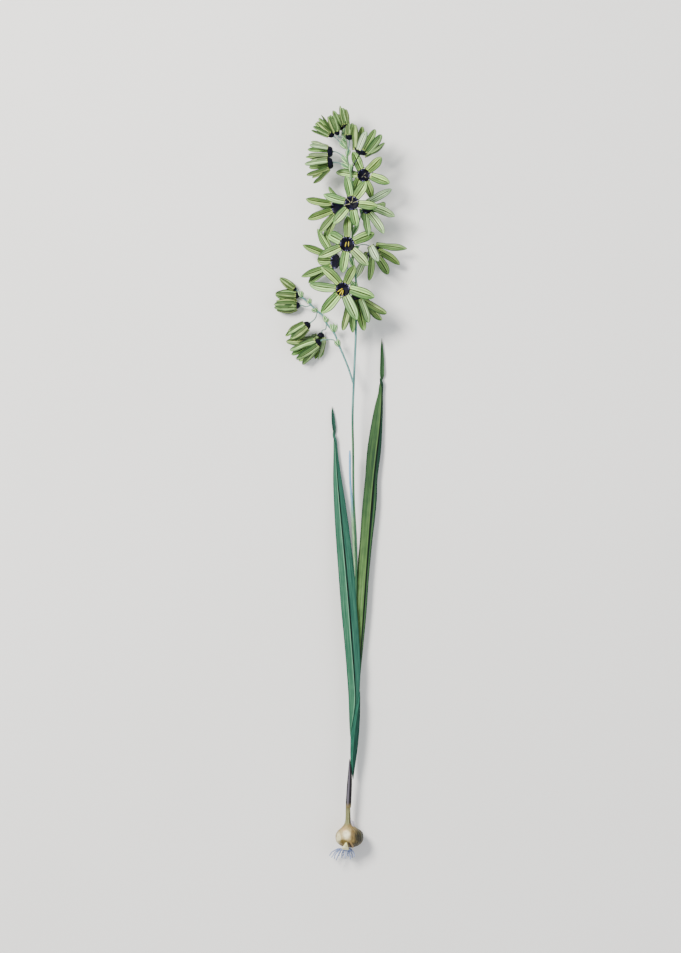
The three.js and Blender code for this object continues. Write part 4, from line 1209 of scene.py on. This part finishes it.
def tepalPatch(heart, facing, tip, plan, k, draw):
    # Blade from under the cup's rim to the tip: widest near the middle, bowed towards the way the flower
    # faces, its halves raised like an open book by channel times the distance from the midrib. In a bell it
    # is turned about its own length: tilt is added to the back's direction, or for a low one to the face's.
    # The plan's bends move the curve's bend point by picture pixels. The half that takes the painted shade
    # is the clockwise one, or the left one where the blade points up the picture.
    reach = tip - heart
    length = np.linalg.norm(reach)
    outward = unit(reach - facing * (reach @ facing))
    openness = np.linalg.norm(np.cross(reach, facing)) / length
    sink = flowerShape["footSink"] * (flowerShape["bellSink"] if plan["bell"] else 1)
    foot = heart + facing * (cupLevels(plan)[0] - sink) + outward * plan["rim"] * flowerShape["footShare"]
    if k in plan.get("feet", {}):
        foot = onPage(plan["feet"][k])
    bend = foot + (tip - foot) * plan.get("bendAt", flowerShape["bendAt"])
    bend = bend + facing * flowerShape["bow"] * length * openness
    bend = bend + outward * plan.get("belly", flowerShape["belly"]) * length * (1 - openness)
    across, down = plan.get("bends", {}).get(k, (0, 0))
    bend = bend + np.array([across, -down, 0]) * page["mmPerPixel"]
    t = np.linspace(0, 1, flowerShape["rings"])
    midrib = bezier(foot, bend, tip, t)
    run = heading(midrib)
    face = np.cross(run, unit(np.cross(facing, outward)))
    if plan["bell"]:
        tilt = plan.get("tilt", flowerShape["tilt"]) * (1 - abs(outward[2]))
        up = skyward - run * run[:, 2:]
        face = unit(face - up * tilt * (1 if outward[2] > flowerShape["low"] else -1))
    side = np.cross(face, run)
    twist = flowerShape["twist"]
    turn = draw.uniform(-twist, twist) * ramp(t, flowerShape["twisting"])[:, None]
    side, face = side * np.cos(turn) + face * np.sin(turn), face * np.cos(turn) - side * np.sin(turn)
    width = plan["width"] * plan.get("spans", (1,) * 6)[k] * draw.uniform(*flowerShape["spread"])
    start, late, blunt = flowerShape["bellWidth" if plan["bell"] else "openWidth"]
    width = width * np.sin(np.pi * (start + (1 - start) * t**late)) ** plan.get("blunt", {}).get(k, blunt)
    phase = draw.uniform() * 2 * np.pi
    opened = ramp(t, *flowerShape["opening"])[:, None]

    def lift(u):
        # The open book, and a wave along the blade that grows with the square of the distance across
        soft = flowerShape["soft"]
        fold = flowerShape["channel"] * (np.sqrt(u**2 + soft**2) - soft) * width[:, None] * opened
        wave = np.sin(2 * np.pi * flowerShape["waves"] * t[:, None] + phase + u) * u**2
        return fold + flowerShape["ripple"] * wave * width[:, None] * opened

    thick = flowerShape["halfThick"] * ramp(1 - t, *flowerShape["thinning"])
    along = run[len(t) // 2]
    darkSide = (along[1], -along[0], 0) if along[1] < flowerShape["upright"] else (-1, 0, 0)
    shadeHalf = float(side[len(t) // 2] @ np.array(darkSide) > 0)
    return blade(midrib, side, face, (width, width), thick, lift, flowerShape["sides"], (0, 1),
                 (draw.uniform(), shadeHalf, plan["shades"][k]))


def cupPatch(heart, facing, plan):
    # Bowl turned round the flower's axis: quarter waves of the radius and the height make the rounded back
    # up to the rim, then the inside down to the throat
    rim = plan["rim"]
    rise, back, throat = cupLevels(plan)
    a = np.linspace(0, np.pi / 2, 16)
    bulge = np.sin(a) ** plan.get("cupPower", flowerShape["cupPower"])
    outside = np.stack([rim * bulge, back + (rise - back) * (1 - np.cos(a))], -1)
    b = a[::-1]
    climb = (rise + flowerShape["lip"] - throat) * (1 - np.cos(b) ** flowerShape["wallPower"])
    inside = np.stack([flowerShape["inner"] * rim * np.sin(b), throat + climb], -1)
    mark = (*flowerShape["cupMarks"], plan.get("rays", 0.0))
    return lathe(np.concatenate([outside, inside]), heart, facing, flowerShape["cupSides"], 2, mark)


def tubePatch(heart, facing, spots, plan):
    # Thin tube through the spots to the back of the cup, flared where it meets the cup
    back = heart + facing * cupLevels(plan)[1]
    path = smoothPath([*spots, *(back + facing * step for step in flowerShape["tubeEnd"])], 34)
    t = np.linspace(0, 1, len(path))
    flare = 1 + flowerShape["flare"] * np.clip(t * 6 - 5, 0, 1) ** 2
    return rod(path, flowerShape["tube"] * flare, 10, plan.get("tubeFinish", 3))


def tubeRoute(letter, plan):
    # Its own spots where the plan gives them, or else two on the line of its bracts: tubeStart of the way
    # along it, and the tip
    if "tubeBy" in plan:
        return onPage(plan["tubeBy"])
    py, tip = mainBracts[letter]
    foot = onStem(mainPath, py)
    tip = onPage(tip)
    return np.stack([foot + (tip - foot) * flowerShape["tubeStart"], tip])


def antherPatches(heart, facing, plan):
    # Each anther is a spindle, its radius the root of a half wave, on a filament that starts in the throat
    patches = []
    t = np.linspace(0, 1, 14)
    start, share = antherShape["spindle"]
    for x0, y0, x1, y1 in plan["anthers"]:
        low = onPage((x0, y0, heart[2] + antherShape["foot"]))
        high = onPage((x1, y1, heart[2] + antherShape["top"]))
        path = low + (high - low) * t[:, None]
        swell = np.clip(np.sin(np.pi * (start + share * t)), 0, 1) ** 0.5
        patches.append(rod(path, antherShape["radius"] * plan.get("slim", 1) * swell, 10))
        foot = heart + facing * cupLevels(plan)[2]
        filament = bezier(foot, (foot + low) / 2 + facing * antherShape["bow"], low, t)
        patches.append(rod(filament, antherShape["filament"], 8, 1))
    return patches


flowerFinishes = [
    tepalFinish("tepal inside"), tepalFinish("tepal outside"), makeFinish("dark eye", eyeLook, eyeSources),
    streakedFinish("pale tube", "3a645c 729a8c", "2c5048", (6.0, 6.0), 0.5),
]


def makeBloom(name, node, heart, facing, tips, route, plan, draw):
    # One tepal to each tip, then the cup and the tube
    patches = [tepalPatch(heart, facing, tip, plan, k, draw) for k, tip in enumerate(tips)]
    patches += [cupPatch(heart, facing, plan), tubePatch(heart, facing, route, plan)]
    makePiece(name, patches, flowerFinishes, node)


def makeFlowers():
    # Flowers by their plans, with anthers in those that show them
    draw = np.random.default_rng(seeds["flowers"])
    pollens = {name: pollenFinish(name) for name in pollenLooks}
    filament = streakedFinish("filament", "24231a 48462c", "1c1b14", (6.0, 3.0), 0.5)
    for letter, plan in flowers.items():
        heart = onPage(plan["heart"])
        facing = unit(np.array(plan["facing"], float))
        tips = onPage(plan["tips"])
        route = tubeRoute(letter, plan)
        makeBloom("bloom_" + letter, "flower_" + letter, heart, facing, tips, route, plan, draw)
        if "anthers" in plan:
            finishes = [pollens[plan.get("pollen", "yellow pollen")], filament]
            patches = antherPatches(heart, facing, plan)
            makePiece("anthers_" + letter, patches, finishes, "stamens_" + letter)


def makeBuds():
    # Closed bud: six tepals on a ring, their tips drawn together and their middles swelled to the girth
    draw = np.random.default_rng(seeds["flowers"])
    for letter, plan in buds.items():
        heart = onPage(plan["heart"])
        tip = onPage(plan["tip"])
        facing = unit(tip - heart)
        first = unit(np.cross(facing, skyward))
        swell = 2 * (plan["girth"] - plan["rim"] * 0.5) / np.linalg.norm(tip - heart)
        shape = {**plan, "bell": True, "belly": swell, "bendAt": budShape["bendAt"]}
        a = np.pi / 3 * (np.arange(6) + 0.5)[:, None]
        aside = first * np.cos(a) + np.cross(facing, first) * np.sin(a)
        ends = tip + aside * budShape["gather"] - facing * budShape["stagger"] * (np.arange(6) % 2)[:, None]
        route = onPage(plan["tubeBy"])
        makeBloom("closed_bud_" + letter, "bud_" + letter, heart, facing, ends, route, shape, draw)


makeFlowers()
makeBuds()
print("flowers and buds done")

studio = {
    "floorHalf": 4.0, "lens": 260.0, "frameHeight": 0.61945, "sensor": 36.0, "focusHeight": 0.016,
    "frameMiddle": (-0.00023, 0.00472),
    "key": {"place": (-0.9, 0.8, 1.5), "size": 0.6, "power": 72.0, "colour": (1.0, 0.97, 0.92)},
    "fill": {"place": (1.2, -0.5, 1.3), "size": 1.4, "power": 13.0, "colour": (0.93, 0.96, 1.0)},
    "sky": (0.93, 0.95, 1.0, 1), "skyStrength": 0.62,
}


def makeFloor():
    # Square board at height 0, on which the plant lies
    half = studio["floorHalf"]
    mesh = bpy.data.meshes.new("floor")
    corners = [(-half, -half, 0), (half, -half, 0), (half, half, 0), (-half, half, 0)]
    mesh.from_pydata(corners, [], [(0, 1, 2, 3)])
    layers = [("ebeae6", 0.5, ("mottle", 3.0))]
    board = {"reads": (), "ground": "f2f1ee", "layers": layers, "roughness": 0.75}
    mesh.materials.append(makeFinish("pale board", board))
    floor = addObject("floor", mesh)


def makeLight(name, plan):
    # Square area light at its place, turned to shine on the origin
    light = bpy.data.lights.new(name, "AREA")
    light.size = plan["size"]
    light.energy = plan["power"]
    light.color = plan["colour"]
    lamp = addObject(name, light)
    lamp.location = plan["place"]
    x, y, z = plan["place"]
    lamp.rotation_euler = (math.atan2(math.hypot(x, y), z), 0, math.atan2(-x, y) + math.pi)


def makeCamera():
    # The camera looks straight down and sees frameHeight metres of the plane at focusHeight
    data = bpy.data.cameras.new("camera")
    data.lens = studio["lens"]
    data.sensor_width = studio["sensor"]
    distance = studio["frameHeight"] * studio["lens"] / studio["sensor"]
    data.clip_end = distance * 2
    camera = addObject("camera", data)
    camera.location = (*studio["frameMiddle"], studio["focusHeight"] + distance)
    bpy.context.scene.camera = camera


makeFloor()
makeLight("key", studio["key"])
makeLight("fill", studio["fill"])
world = bpy.data.worlds.new("studio")
bpy.context.scene.world = world
world.use_nodes = True
background = world.node_tree.nodes["Background"].inputs
background["Color"].default_value = studio["sky"]
background["Strength"].default_value = studio["skyStrength"]
makeCamera()
print("floor, light and camera done")
